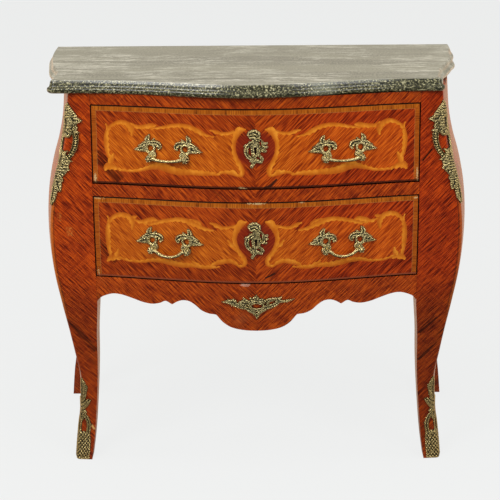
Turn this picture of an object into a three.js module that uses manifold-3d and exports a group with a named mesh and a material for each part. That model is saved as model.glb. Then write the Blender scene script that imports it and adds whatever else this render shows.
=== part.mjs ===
// A two-drawer commode chest with a bombe body, cabriole legs, a loose marble top
// and brass mounts. Millimetres, +Z up, the front faces -Y, the floor is Z = 0.
import * as THREE from 'three';
import { mergeVertices } from 'three/addons/utils/BufferGeometryUtils.js';
import Module from 'manifold-3d';

const wasm = await Module();
wasm.setup();

// Overall sizes
const height = 800;
const depth = 462;
const bellyHalf = 404; // half the width over the front arrises, at the belly
const bellyDepth = 170; // how far the front arrises stand before the origin, at the belly
const frontBow = 58; // how far the middle of the front bows out before its arrises
const sideFlare = 40; // how far each side spreads between its front arris and the back
const fit = 0.3; // gap between two pieces that touch
const overrun = 6; // how far a cutting solid runs past the face that it opens

// Marble slab
const marbleThickness = 25;
const marbleShift = -11; // the loose slab lies this much left of the middle
const marbleEarInset = 24; // each front ear lies this far inside the belly's arris
const marbleFrontHalf = bellyHalf - marbleEarInset;
const marbleSpread = 41; // how much wider each end of the slab is at its back
const marbleBackHalf = marbleFrontHalf + marbleSpread;
const marbleSetback = 9; // its front corners lie this far behind the belly's arrises
const marbleCornerDepth = bellyDepth - marbleSetback;
const marbleBow = frontBow;
const marbleEarRadius = 13;
const marbleNotch = 5; // how far the side steps in behind each front ear
const marbleEdgeInset = 9; // how far the top edge lies inside the lip

// Carcass
const carcassTop = height - marbleThickness;
const backOverhang = 10; // marble beyond the back of the carcass
const backPlane = depth / 2 - backOverhang;
const postWidth = 86; // from a post's arris at the belly to the drawer openings
const openingHalf = bellyHalf - postWidth;
const topRailHeight = 21.5;
const upperOpening = 154;
const middleRailHeight = 24;
const lowerOpening = 165;
const railDepth = 45;
const apronThickness = 20;
const apronDrop = 102; // how far the apron's middle hangs below the lower opening
const postDepth = 70;
const arrisRadius = 5;
const rearPostWidth = 46;
const rearPostDepth = 38;
const sidePanelThickness = 16;
const backPanelThickness = 8;
const topPanelThickness = 16;
const bottomPanelThickness = 12;
const boardGap = 1.2; // room for a case board to move between the side panels
const dustPanelThickness = 8;
const dustPanelDrop = 3; // how far the dust panel lies below the drawer's running level
const runnerLedge = 30; // how far a runner reaches in under a drawer
const runnerInner = openingHalf - runnerLedge;
const runnerHousing = 27; // and how far it reaches out beside it
const runnerOuter = openingHalf + runnerHousing;
const runnerThickness = 14;
const guideRise = 22;
const guideGap = 0.6; // running gap between a drawer side and its guide

// Drawers
const drawerGap = 1.5; // gap all round a drawer front
const drawerFrontThickness = 22;
const drawerFrontEase = 1.2; // small bevel along its long edges
const drawerSideThickness = 12;
const drawerBackThickness = 12;
const drawerBottomThickness = 7;
const drawerBottomRise = 5; // bottom panel above the lower edges of the sides
const drawerGroove = 5;
const drawerSideDrop = 9; // sides lie this much lower than the front's top edge
const drawerBackGap = 12; // free space behind a closed drawer
const tailCount = 4;
const tailLength = 14;
const tailRootShare = 0.3; // half a tail's width at its root, as a share of the spacing
const tailEndShare = 0.38;
const frontSeatRun = 19; // the inner face of a drawer front is flat this near its ends
const frontSeatX = openingHalf - frontSeatRun;

// Locks
const lockWidth = 44;
const lockHeight = 36;
const lockDepth = 13;
const lockSink = 3; // how deep the case is let into the drawer front
const lockWall = 2;
const boltWidth = 26;
const boltHeight = 26;
const boltGap = 0.4;
const boltThrow = 7;
const mortiseGap = 1;
const keyRadius = 2.4;
const keySlotHalf = 1.3;
const keySlotDrop = 9;
const keyBelowTop = 74; // keyhole centre below the drawer's top edge

// Handles
const handleInset = 150.5; // middle of a handle from the end of the opening
const handleX = openingHalf - handleInset;
const pommelHalf = 35; // half the distance between the two pommels
const pommelRadius = 6.5;
const pommelReach = 16;
const pommelNeck = 4.4;
const postRadius = 2.5;
const postBoreRadius = 3.2;
const bailReach = 11; // hinge axis of the bail before the drawer front
const bailRadius = 1.9;
const bailPinRadius = 1.7;
const bailPinGap = 0.45;
const bailPinEnd = 1; // the pin ends this far from the pommel's axis
const upperBailDrop = 7;
const lowerBailDrop = 11;
const upperHandleDrop = 97; // hinge axis below the drawer front's top edge
const lowerHandleDrop = 99;
const plateThickness = 2.4;
const plateSink = 1.5; // back of a mount before it is fitted to the curved front
const nutRadius = 6.5;
const nutThickness = 4;
const nutSeatRadius = 9;
const nutSeatDepth = 2.4;
const postTail = 3; // post beyond its nut
const leafLength = 28;
const leafHeight = 45;

// Other mounts
const escutcheonWidth = 48;
const escutcheonHeight = 75;
const apronMountWidth = 143;
const apronMountHeight = 53;
const apronMountDrop = 47; // its middle below the lower drawer's opening
const cornerMountDrop = 20; // its top below the carcass top
const cornerMountHeight = 202;
const cornerMountReach = 31; // how far it reaches over each face at its widest
const cornerGapHalf = 11; // half the width of its open stretch
const sabotHeight = 179;
const sabotReach = 25;
const wrapThickness = 3;

// Half width and depth of the front arris, as shares of those at the belly, by height
const arrisShares = [
  [0, 0.936, 0.868],
  [0.058, 0.926, 0.819],
  [0.13, 0.911, 0.783],
  [0.215, 0.903, 0.783],
  [0.28, 0.911, 0.819],
  [0.36, 0.933, 0.88],
  [0.45, 0.963, 0.945],
  [0.54, 0.99, 0.988],
  [0.625, 1, 1],
  [0.7, 0.993, 0.99],
  [0.765, 0.97, 0.965],
  [0.83, 0.934, 0.932],
  [0.9, 0.907, 0.9],
  [1, 0.891, 0.868],
];

// Inner edge of a front leg as a share of the belly's half width, and the leg's depth
// and the rear leg's thickness as shares of those in the case, by height
const legShares = [
  [0, 0.853, 0.49, 0.74],
  [0.058, 0.838, 0.5, 0.76],
  [0.13, 0.825, 0.515, 0.76],
  [0.215, 0.812, 0.545, 0.8],
  [0.28, 0.805, 0.61, 0.88],
  [0.36, 0.8, 0.69, 0.97],
  [0.43, 0.79, 0.78, 1],
  [0.45, 0.78713, 0.8, 1],
];

// Lower edge of the apron: place from the middle to a post, and drop from its top
const apronShares = [
  [0, 1],
  [0.08, 0.985],
  [0.155, 0.93],
  [0.205, 0.83],
  [0.238, 0.71],
  [0.25, 0.665],
  [0.295, 0.645],
  [0.34, 0.585],
  [0.38, 0.475],
  [0.415, 0.405],
  [0.455, 0.39],
  [0.49, 0.425],
  [0.525, 0.495],
  [0.565, 0.43],
  [0.6, 0.48],
  [0.65, 0.512],
  [0.71, 0.487],
  [0.775, 0.42],
  [0.84, 0.36],
  [0.895, 0.345],
  [0.945, 0.39],
  [0.98, 0.45],
  [1, 0.53],
];

// Lower edge of a side panel, from the front post to the rear post
const sideSkirtShares = [
  [0, 0.56],
  [0.04, 0.45],
  [0.12, 0.36],
  [0.22, 0.36],
  [0.32, 0.44],
  [0.4, 0.56],
  [0.5, 0.62],
  [0.6, 0.56],
  [0.68, 0.44],
  [0.78, 0.36],
  [0.88, 0.36],
  [0.96, 0.45],
  [1, 0.56],
];

// Levels at which the posts and the back panel are sectioned, as shares of the height
const levelShares = [
  0, 0.03, 0.07, 0.12, 0.17, 0.22, 0.27, 0.32, 0.37, 0.41, 0.45, 0.5, 0.56, 0.625,
  0.69, 0.74, 0.79, 0.84, 0.9, 0.95, 1,
];

// A smooth curve through the rows of a table, by its first column
function through(rows, column) {
  const last = rows.length - 1;
  const slope = (k) => {
    const before = rows[Math.max(k - 1, 0)];
    const after = rows[Math.min(k + 1, last)];
    return (after[column] - before[column]) / (after[0] - before[0]);
  };
  return (place) => {
    const spot = THREE.MathUtils.clamp(place, rows[0][0], rows[last][0]);
    let k = 0;
    while (k < last - 1 && spot > rows[k + 1][0]) k += 1;
    const span = rows[k + 1][0] - rows[k][0];
    const t = (spot - rows[k][0]) / span;
    const from = rows[k][column];
    const to = rows[k + 1][column];
    const rise = to - from;
    const bendA = slope(k) * span - rise;
    const bendB = rise - slope(k + 1) * span;
    return from + rise * t + t * (1 - t) * (bendA * (1 - t) + bendB * t);
  };
}

const arrisWidthShare = through(arrisShares, 1);
const arrisDepthShare = through(arrisShares, 2);
const legInnerShare = through(legShares, 1);
const legDepthShare = through(legShares, 2);
const rearLegShare = through(legShares, 3);

const upperTop = carcassTop - topRailHeight;
const upperBottom = upperTop - upperOpening;
const lowerTop = upperBottom - middleRailHeight;
const lowerBottom = lowerTop - lowerOpening;
const postBack = postDepth - bellyDepth;
const rearPostFront = backPlane - rearPostDepth;
const backPanelFront = backPlane - backPanelThickness;

// The body's outer surface: the arris, the bowed front and the flared sides
const arrisX = (z) => bellyHalf * arrisWidthShare(z / carcassTop);
const arrisY = (z) => -bellyDepth * arrisDepthShare(z / carcassTop);
const bowShare = (x) => (1 + Math.cos(Math.PI * Math.min(Math.abs(x) / bellyHalf, 1))) / 2;
const frontY = (x, z) => arrisY(z) - frontBow * bowShare(x);

function sideX(y, z) {
  const start = frontY(arrisX(z), z);
  const t = THREE.MathUtils.clamp((y - start) / (backPlane - start), 0, 1);
  return arrisX(z) + sideFlare * (1 - (1 - t) ** 2);
}

const at = (x, y, z) => new THREE.Vector3(x, y, z);

// Faces of a closed flat outline, wound as the outline is
function capFaces(points) {
  const normal = at(0, 0, 0);
  points.forEach((p, i) => {
    normal.add(at(0, 0, 0).crossVectors(p, points[(i + 1) % points.length]));
  });
  const size = [Math.abs(normal.x), Math.abs(normal.y), Math.abs(normal.z)];
  const axis = size.indexOf(Math.max(...size));
  const flat = points.map((p) => {
    const c = [p.x, p.y, p.z];
    return new THREE.Vector2(c[(axis + 1) % 3], c[(axis + 2) % 3]);
  });
  const wound = normal.getComponent(axis) > 0;
  return THREE.ShapeUtils.triangulateShape(flat, []).map(([a, b, c]) => {
    const ab = flat[b].clone().sub(flat[a]);
    const ac = flat[c].clone().sub(flat[a]);
    return ab.cross(ac) > 0 === wound ? [a, b, c] : [a, c, b];
  });
}

function indexed(positions, indices) {
  const geometry = new THREE.BufferGeometry();
  geometry.setAttribute('position', new THREE.Float32BufferAttribute(positions, 3));
  geometry.setIndex(indices);
  return geometry;
}

// Joins closed sections with equal point counts into one solid with flat ends
function loft(sections) {
  const count = sections[0].length;
  const end = (sections.length - 1) * count;
  const faces = [];
  for (let s = 0; s < end; s += count) {
    for (let i = 0; i < count; i += 1) {
      const j = (i + 1) % count;
      faces.push([s + i, s + j, s + count + j], [s + i, s + count + j, s + count + i]);
    }
  }
  capFaces(sections[0]).forEach(([a, b, c]) => faces.push([a, c, b]));
  capFaces(sections[sections.length - 1]).forEach((f) => faces.push(f.map((i) => i + end)));
  const points = sections.flat();
  const volume = faces.reduce(
    (sum, [a, b, c]) => sum + points[a].dot(at(0, 0, 0).crossVectors(points[b], points[c])),
    0,
  );
  const outward = volume > 0 ? faces : faces.map(([a, b, c]) => [a, c, b]);
  return indexed(points.flatMap((p) => [p.x, p.y, p.z]), outward.flat());
}

function toSolid(geometry) {
  const merged = bare(geometry);
  return new wasm.Manifold(new wasm.Mesh({
    numProp: 3,
    vertProperties: new Float32Array(merged.attributes.position.array),
    triVerts: new Uint32Array(merged.index.array),
  }));
}

function toGeometry(solid) {
  const mesh = solid.getMesh();
  return indexed(Array.from(mesh.vertProperties), Array.from(mesh.triVerts));
}

const cut = (solid, tools) => tools.reduce((left, tool) => left.subtract(tool), solid);
const join = (solids) => solids.reduce((all, solid) => all.add(solid));

// Only the positions of a geometry, with its shared points merged
function bare(geometry) {
  const copy = geometry.clone();
  copy.deleteAttribute('normal');
  copy.deleteAttribute('uv');
  return mergeVertices(copy);
}

function flipped(geometry) {
  const copy = bare(geometry);
  const index = Array.from(copy.index.array);
  for (let i = 0; i < index.length; i += 3) {
    [index[i + 1], index[i + 2]] = [index[i + 2], index[i + 1]];
  }
  copy.setIndex(index);
  return copy;
}

const mirrored = (geometry) => (
  flipped(geometry.clone().applyMatrix4(new THREE.Matrix4().makeScale(-1, 1, 1)))
);

function block(low, high) {
  const size = high.clone().sub(low);
  const centre = high.clone().add(low).divideScalar(2);
  return new THREE.BoxGeometry(size.x, size.y, size.z).translate(centre.x, centre.y, centre.z);
}

function outline(points, holes = []) {
  const shape = new THREE.Shape(points.map(([u, v]) => new THREE.Vector2(u, v)));
  shape.holes = holes.map((hole) => new THREE.Path(hole.map(([u, v]) => new THREE.Vector2(u, v))));
  return shape;
}

const extrude = (shape, length) => (
  new THREE.ExtrudeGeometry(shape, { depth: length, bevelEnabled: false })
);

// An outline in Y and Z, extruded along X from a start
const alongX = (points, start, length) => extrude(outline(points), length)
  .applyMatrix4(new THREE.Matrix4().set(0, 0, 1, start, 1, 0, 0, 0, 0, 1, 0, 0, 0, 0, 0, 1));

// An outline in X and Z, extruded forward along -Y from a start
const alongFront = (shape, start, length) => extrude(shape, length)
  .applyMatrix4(new THREE.Matrix4().set(1, 0, 0, 0, 0, 0, -1, start, 0, 1, 0, 0, 0, 0, 0, 1));

const spread = (from, to, count) => (
  Array.from({ length: count + 1 }, (_, i) => from + ((to - from) * i) / count)
);

const roundSides = 8; // facets round a pommel, a rod, a pin or a bore

const ringPoints = (radius, sides) => spread(0, 2 * Math.PI, sides).slice(0, -1)
  .map((turn) => [radius * Math.cos(turn), radius * Math.sin(turn)]);

const chest = new THREE.Group();

const finishes = {
  kingwood: { color: 0x8f3d17, roughness: 0.28, metalness: 0 },
  oak: { color: 0xa98358, roughness: 0.7, metalness: 0 },
  marble: { color: 0x5e675c, roughness: 0.25, metalness: 0 },
  brass: { color: 0x9a8748, roughness: 0.38, metalness: 1 },
  steel: { color: 0x77726a, roughness: 0.5, metalness: 1 },
};

function addPiece(name, geometry, finish) {
  const mesh = new THREE.Mesh(geometry, new THREE.MeshStandardMaterial(finishes[finish]));
  mesh.name = name;
  chest.add(mesh);
}

function addPair(name, geometry, finish) {
  addPiece(`${name}_right`, geometry, finish);
  addPiece(`${name}_left`, mirrored(geometry), finish);
}

// Marble slab: a serpentine plan with small ears, drawn in towards its top edge
function marblePlan() {
  const frontSteps = 13;
  const sideSteps = 8;
  const earSteps = 3;
  const back = depth / 2;
  const front = spread(0, marbleFrontHalf - marbleEarRadius, frontSteps).map((x) => {
    const share = (1 + Math.cos((Math.PI * x) / marbleFrontHalf)) / 2;
    return [x, -marbleCornerDepth - marbleBow * share ** 1.5];
  });
  const earY = marbleEarRadius - marbleCornerDepth;
  const ear = spread(0, Math.PI / 2, earSteps).slice(1).map((turn) => [
    marbleFrontHalf - marbleEarRadius + marbleEarRadius * Math.sin(turn),
    earY - marbleEarRadius * Math.cos(turn),
  ]);
  const flareStart = earY + marbleEarRadius;
  const side = spread(0, 1, sideSteps).slice(0, -1).map((t) => [
    marbleFrontHalf - marbleNotch
      + (marbleBackHalf - marbleFrontHalf + marbleNotch) * (1 - (1 - t) ** 2),
    flareStart + (back - marbleEarRadius - flareStart) * t,
  ]);
  const corner = [
    [marbleBackHalf, back - marbleEarRadius / 2],
    [marbleBackHalf - marbleEarRadius / 2, back],
  ];
  return [...front, ...ear, ...side, ...corner];
}

// The slab's moulded edge: rise, and how far it lies inside the lip
const marbleEdgeShares = [
  [0, 0.4], [0.1, 0.08], [0.24, 0], [0.4, 0.12], [0.5, 0.5], [0.8, 0.75], [1, 1],
];

function marbleSlab() {
  const plan = bothWays(marblePlan());
  const rings = marbleEdgeShares.map(([rise, insetShare]) => plan.map(([x, y], i) => {
    const before = plan[(i + plan.length - 1) % plan.length];
    const after = plan[(i + 1) % plan.length];
    const come = new THREE.Vector2(x - before[0], y - before[1]).normalize();
    const go = new THREE.Vector2(after[0] - x, after[1] - y).normalize();
    const normal = new THREE.Vector2(come.y + go.y, -come.x - go.x).normalize();
    const inset = marbleEdgeInset * insetShare;
    const z = carcassTop + fit + (marbleThickness - fit) * rise;
    return at(marbleShift + x - normal.x * inset, y - normal.y * inset, z);
  }));
  return loft(rings);
}

// Front post: stile and cabriole leg in one, with a rounded arris
function legInner(z) {
  return z / carcassTop < legShares[legShares.length - 1][0]
    ? bellyHalf * legInnerShare(z / carcassTop)
    : openingHalf;
}

const legBack = (z) => Math.min(arrisY(z) + postDepth * legDepthShare(z / carcassTop), postBack);

function frontPostSection(z, grow) {
  const x = arrisX(z);
  const y = frontY(x, z);
  const caseShare = legShares[legShares.length - 1][0];
  const back = z / carcassTop < caseShare ? legBack(z) : postBack;
  const inner = legInner(z);
  const before = at(x - arrisRadius, frontY(x - arrisRadius, z) - grow, z);
  const after = at(sideX(y + arrisRadius, z) + grow, y + arrisRadius, z);
  const corner = at(x + grow, y - grow, z);
  const round = before.clone().add(after).addScaledVector(corner, 2).divideScalar(4);
  const middle = (inner + x) / 2;
  const halfBack = (y + back) / 2;
  return [
    at(inner - grow, frontY(inner, z) - grow, z),
    at(middle, frontY(middle, z) - grow, z),
    before,
    round,
    after,
    at(sideX(halfBack, z) + grow, halfBack, z),
    at(sideX(back, z) + grow, back + grow, z),
    at(inner - grow, back + grow, z),
  ];
}

function frontPost(grow) {
  return loft(levelShares.map((share) => frontPostSection(carcassTop * share, grow)));
}

// Rear post and leg
const rearWidth = (z) => rearPostWidth * rearLegShare(z / carcassTop);
const rearInner = (z) => sideX(backPlane, z) - rearWidth(z);

function rearPost() {
  return loft(levelShares.map((share) => {
    const z = carcassTop * share;
    const front = backPlane - rearPostDepth * rearLegShare(share);
    const middle = (front + backPlane) / 2;
    return [
      at(rearInner(z), backPlane, z),
      at(rearInner(z), front, z),
      at(sideX(front, z), front, z),
      at(sideX(middle, z), middle, z),
      at(sideX(backPlane, z), backPlane, z),
    ];
  }));
}

// Side panel: bombe outside and inside, with a scalloped skirt
function sidePanel() {
  const skirt = through(sideSkirtShares, 1);
  const columns = 11;
  const rows = 8;
  const start = postBack + fit;
  const end = rearPostFront - fit;
  return loft(spread(0, 1, columns).map((share) => {
    const y = start + (end - start) * share;
    const bottom = lowerBottom - apronDrop * skirt(share);
    const levels = spread(bottom, carcassTop, rows);
    const outside = levels.map((z) => at(sideX(y, z), y, z));
    const inside = levels.map((z) => at(sideX(y, z) - sidePanelThickness, y, z)).reverse();
    return [...outside, ...inside];
  }));
}

// Back panel between the rear posts
function backPanel() {
  const edge = (z) => rearInner(z) - fit;
  const low = lowerBottom - runnerThickness - bottomPanelThickness;
  const levels = [low, ...levelShares.map((s) => carcassTop * s).filter((z) => z > low)];
  const right = levels.map((z) => [edge(z), z]);
  const left = [...right].reverse().map(([x, z]) => [-x, z]);
  return alongFront(outline([...right, ...left]), backPlane, backPanelThickness);
}

// Places of the bends in a rail's bowed faces, from its middle to an end
const railEnd = openingHalf - fit;
const railPlaces = spread(0, railEnd, 8);

// Curved rail between the front posts
function rail(bottom, top) {
  const places = [...railPlaces.slice(1).reverse().map((x) => -x), ...railPlaces];
  return loft(places.map((x) => [
    at(x, frontY(x, bottom), bottom),
    at(x, frontY(x, top), top),
    at(x, frontY(x, top) + railDepth, top),
    at(x, frontY(x, top) + railDepth, bottom),
  ]));
}

// Scalloped apron
function apronBody(grow) {
  const right = apronShares.map(([place, drop]) => [
    railEnd * place, lowerBottom - apronDrop * drop,
  ]);
  const left = right.slice(1).reverse().map(([x, z]) => [-x, z]);
  return loft([...left, ...right].map(([x, bottom]) => {
    const middle = (bottom + lowerBottom) / 2;
    return [
      at(x, frontY(x, bottom) - grow, bottom - grow),
      at(x, frontY(x, middle) - grow, middle),
      at(x, frontY(x, lowerBottom) - grow, lowerBottom + grow),
      at(x, frontY(x, lowerBottom) + apronThickness, lowerBottom + grow),
      at(x, frontY(x, bottom) + apronThickness, bottom - grow),
    ];
  }));
}

const bothWays = (half) => [...half, ...half.slice(1).reverse().map(([x, y]) => [-x, y])];

// A flat board inside the case, notched round the four posts
function caseBoard(bottom, top, frontEdge) {
  const sideSteps = 5;
  const inside = (y) => (
    Math.min(sideX(y, bottom), sideX(y, top)) - sidePanelThickness - boardGap
  );
  const rearX = Math.min(rearInner(bottom), rearInner(top)) - fit;
  const notch = postBack + 2 * fit;
  const rearNotch = rearPostFront - 2 * fit;
  const half = [
    ...frontEdge,
    [railEnd, notch],
    ...spread(notch, rearNotch, sideSteps).map((y) => [inside(y), y]),
    [rearX, rearNotch],
    [rearX, backPanelFront - fit],
  ];
  return extrude(outline(bothWays(half)), top - bottom).translate(0, 0, bottom);
}

function topPanel() {
  const edge = railPlaces.map((x) => [x, frontY(x, carcassTop) + railDepth + fit]);
  return caseBoard(carcassTop - topPanelThickness, carcassTop, edge);
}

function bottomPanel() {
  const top = lowerBottom - runnerThickness - fit;
  const bottom = top - bottomPanelThickness;
  const edge = apronShares.map(([place, drop]) => {
    const x = railEnd * place;
    const low = lowerBottom - apronDrop * drop;
    const rise = (bottom - low) / (lowerBottom - low);
    const apronY = THREE.MathUtils.lerp(frontY(x, low), frontY(x, lowerBottom), rise);
    return [x, apronY + apronThickness + fit];
  });
  return caseBoard(bottom, top, edge);
}

// Dust panel between the two drawers, held by the middle rail and the upper runners
function dustPanel() {
  const top = upperBottom - dustPanelDrop;
  const edge = runnerInner - fit;
  const places = [...railPlaces.filter((x) => x < edge), edge];
  const front = places.map((x) => [x, frontY(x, upperBottom) + railDepth + fit]);
  const plan = bothWays([...front, [edge, backPanelFront - fit]]);
  return extrude(outline(plan), dustPanelThickness).translate(0, 0, top - dustPanelThickness);
}

// Drawer runner with its guide, an L in section
function runner(top) {
  const guide = openingHalf - drawerGap + guideGap;
  const section = [
    [runnerInner, top - runnerThickness],
    [runnerOuter, top - runnerThickness],
    [runnerOuter, top + guideRise],
    [guide, top + guideRise],
    [guide, top],
    [runnerInner, top],
  ];
  return alongFront(outline(section), backPanelFront - fit, backPanelFront - postBack - 2 * fit);
}

// The two drawers, from their openings
const drawers = [
  {
    name: 'upper',
    openingTop: upperTop,
    openingBottom: upperBottom,
    handleDrop: upperHandleDrop,
    bailDrop: upperBailDrop,
  },
  {
    name: 'lower',
    openingTop: lowerTop,
    openingBottom: lowerBottom,
    handleDrop: lowerHandleDrop,
    bailDrop: lowerBailDrop,
  },
];
drawers.forEach((drawer) => {
  drawer.top = drawer.openingTop - drawerGap;
  drawer.bottom = drawer.openingBottom + drawerGap;
  drawer.half = openingHalf - drawerGap;
  drawer.shallowY = Math.max(arrisY(drawer.top), arrisY(drawer.bottom));
  drawer.sideBottom = drawer.openingBottom + fit;
  drawer.sideTop = drawer.top - drawerSideDrop;
  drawer.backY = backPanelFront - drawerBackGap - drawerBackThickness;
});

// Inner face of a drawer front: bowed in the middle, flat where the sides meet it
function frontInnerY(drawer, x) {
  const bow = frontBow * bowShare(Math.min(Math.abs(x), frontSeatX));
  return drawer.shallowY - bow + drawerFrontThickness;
}

function drawerFrontBlank(drawer, grow) {
  const columns = 22;
  const rows = 3;
  return loft(spread(-drawer.half, drawer.half, columns).map((x) => {
    const levels = spread(drawer.bottom + drawerFrontEase, drawer.top - drawerFrontEase, rows);
    return [
      at(x, frontInnerY(drawer, x), drawer.bottom),
      at(x, frontY(x, drawer.bottom) + drawerFrontEase - grow, drawer.bottom),
      ...levels.map((z) => at(x, frontY(x, z) - grow, z)),
      at(x, frontY(x, drawer.top) + drawerFrontEase - grow, drawer.top),
      at(x, frontInnerY(drawer, x), drawer.top),
    ];
  }));
}

const tailSpacing = (drawer) => (drawer.sideTop - drawer.sideBottom) / tailCount;
const tailCentres = (drawer) => (
  Array.from({ length: tailCount }, (_, k) => drawer.sideBottom + tailSpacing(drawer) * (k + 0.5))
);
const sideSeat = (drawer) => frontInnerY(drawer, drawer.half);

// Drawer side: tails at the front and the back, and a groove for the bottom
function drawerSide(drawer) {
  const root = tailSpacing(drawer) * tailRootShare;
  const end = tailSpacing(drawer) * tailEndShare;
  const seat = sideSeat(drawer) + fit;
  const back = drawer.backY;
  const frontTails = tailCentres(drawer).flatMap((z) => [
    [seat, z - root], [seat - tailLength, z - end], [seat - tailLength, z + end], [seat, z + root],
  ]);
  const backTails = [...tailCentres(drawer)].reverse().flatMap((z) => [
    [back, z + root], [back + drawerBackThickness, z + end],
    [back + drawerBackThickness, z - end], [back, z - root],
  ]);
  const profile = [
    [seat, drawer.sideBottom], ...frontTails, [seat, drawer.sideTop],
    [back, drawer.sideTop], ...backTails, [back, drawer.sideBottom],
  ].reverse();
  const plank = toSolid(
    alongX(profile, drawer.half - drawerSideThickness, drawerSideThickness),
  );
  return toGeometry(cut(plank, [toSolid(drawerBottom(drawer, fit))]));
}

// The space of a side's tails, to cut their sockets
function tailSockets(drawer, atBack) {
  const root = tailSpacing(drawer) * tailRootShare;
  const end = tailSpacing(drawer) * tailEndShare;
  const reach = atBack ? drawerBackThickness : -tailLength;
  const seat = atBack ? drawer.backY : sideSeat(drawer) + fit;
  const away = Math.sign(reach);
  const slant = (end - root) / Math.abs(reach);
  const inX = drawer.half - drawerSideThickness - fit;
  const near = seat - away * overrun;
  const far = seat + reach + away * (atBack ? overrun : fit);
  const halfNear = root - slant * overrun + fit;
  const halfFar = root + slant * Math.abs(far - seat) + fit;
  return tailCentres(drawer).map((z) => {
    const points = [
      [near, z - halfNear], [far, z - halfFar], [far, z + halfFar], [near, z + halfNear],
    ];
    const wound = atBack ? points : points.reverse();
    return toSolid(alongX(wound, inX, drawerSideThickness + overrun));
  });
}

const bothSides = (tools) => [
  ...tools,
  ...tools.map((tool) => toSolid(mirrored(toGeometry(tool)))),
];

// Drawer bottom, let into grooves in the front, the sides and the back
function drawerBottom(drawer, grow) {
  const steps = 8;
  const halfWidth = drawer.half - drawerSideThickness + drawerGroove + grow;
  const bottom = drawer.sideBottom + drawerBottomRise;
  const front = spread(0, frontSeatX, steps)
    .map((x) => [x, frontInnerY(drawer, x) - drawerGroove - grow]);
  const back = drawer.backY + fit + drawerGroove + grow;
  const seat = frontInnerY(drawer, drawer.half) - drawerGroove - grow;
  const plan = bothWays([...front, [halfWidth, seat], [halfWidth, back]]);
  return extrude(outline(plan), drawerBottomThickness + 2 * grow)
    .translate(0, 0, bottom - grow);
}

function drawerBack(drawer) {
  const plank = toSolid(block(
    at(-drawer.half, drawer.backY + fit, drawer.sideBottom),
    at(drawer.half, drawer.backY + drawerBackThickness, drawer.sideTop),
  ));
  return toGeometry(cut(plank, [
    ...bothSides(tailSockets(drawer, true)),
    toSolid(drawerBottom(drawer, fit)),
  ]));
}

// Lock: a case let into the drawer front from behind, and a bolt that rises from it
const lockFront = (drawer) => frontInnerY(drawer, 0) - lockSink;
const keyZ = (drawer) => drawer.top - keyBelowTop;

function lockBlock(drawer, grow) {
  const front = lockFront(drawer);
  return block(
    at(-lockWidth / 2 - grow, front - grow, drawer.top - lockHeight - grow),
    at(lockWidth / 2 + grow, front + lockDepth + grow, drawer.top + grow),
  );
}

function boltBlock(drawer, grow, top) {
  const front = lockFront(drawer) + lockWall + boltGap;
  const back = lockFront(drawer) + lockDepth - lockWall - boltGap;
  const low = drawer.top - boltHeight;
  return block(
    at(-boltWidth / 2 - grow, front - grow, low - grow),
    at(boltWidth / 2 + grow, back + grow, top),
  );
}

function lockCase(drawer) {
  const pocket = toSolid(boltBlock(drawer, boltGap, drawer.top + overrun));
  return toGeometry(cut(toSolid(lockBlock(drawer, 0)), [pocket]));
}

// Mortise in the rail above, for the bolt
function boltMortise(drawer) {
  const high = drawer.openingTop + boltThrow - drawerGap + mortiseGap;
  return toSolid(boltBlock(drawer, mortiseGap, high));
}

function keyholePoints(grow) {
  const radius = keyRadius + grow;
  const slot = keySlotHalf + grow;
  const start = Math.asin(slot / radius);
  const turns = spread(start, 2 * Math.PI - start, 8);
  const ring = turns.map((turn) => [radius * Math.sin(turn), -radius * Math.cos(turn)]);
  return [[slot, -keySlotDrop - grow], ...ring, [-slot, -keySlotDrop - grow]];
}

// Handles: two pommels on leaf plates, with a bail that hinges between them. A handle's
// own frame has U along its chord, V up and D straight out from the drawer.
function handleFrame(drawer) {
  const z = drawer.top - drawer.handleDrop;
  const inner = at(handleX - pommelHalf, frontY(handleX - pommelHalf, z), z);
  const outer = at(handleX + pommelHalf, frontY(handleX + pommelHalf, z), z);
  const along = outer.clone().sub(inner).normalize();
  return {
    centre: inner.clone().add(outer).divideScalar(2),
    along,
    out: at(along.y, -along.x, 0),
    half: inner.distanceTo(outer) / 2,
  };
}

function inHandle(frame, u, v, d) {
  return frame.centre.clone()
    .addScaledVector(frame.along, u)
    .addScaledVector(frame.out, d)
    .add(at(0, 0, v));
}

// How far the drawer's surface lies out from the handle's plane
function surfaceOut(frame, u, v) {
  let d = 0;
  const rounds = 6;
  for (let round = 0; round < rounds; round += 1) {
    const p = inHandle(frame, u, v, d);
    d += p.y - frontY(p.x, p.z);
  }
  return d;
}

// Leaf plate outline beside its pommel: U away from the bail, V up, as shares of its size
const leafShares = [
  [1, 0.34], [0.64, 0.6], [0.36, 0.82], [0.17, 0.97], [-0.04, 1], [-0.1, 0.9], [0, 0.76],
  [-0.2, 0.78], [-0.45, 0.77], [-0.66, 0.68], [-0.82, 0.55], [-0.75, 0.47], [-0.62, 0.53],
  [-0.6, 0.3], [-0.57, 0.06], [-0.4, -0.06], [-0.1, -0.1], [0.2, -0.06], [0.2, 0.22],
  [0.48, 0.28], [0.74, 0.27],
];
const leafHoleShares = [[-0.1, 0.36], [0.08, 0.45], [0.02, 0.56], [-0.14, 0.52]];

// Pommel outside its plate: shares of its radius and of its reach
const pommelShares = [[0.68, 0.25], [1, 0.4], [1, 0.82], [0.6, 1]];

function warped(geometry, place) {
  const points = geometry.attributes.position;
  for (let i = 0; i < points.count; i += 1) {
    const p = place(points.getX(i), points.getY(i), points.getZ(i));
    points.setXYZ(i, p.x, p.y, p.z);
  }
  return geometry;
}

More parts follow.
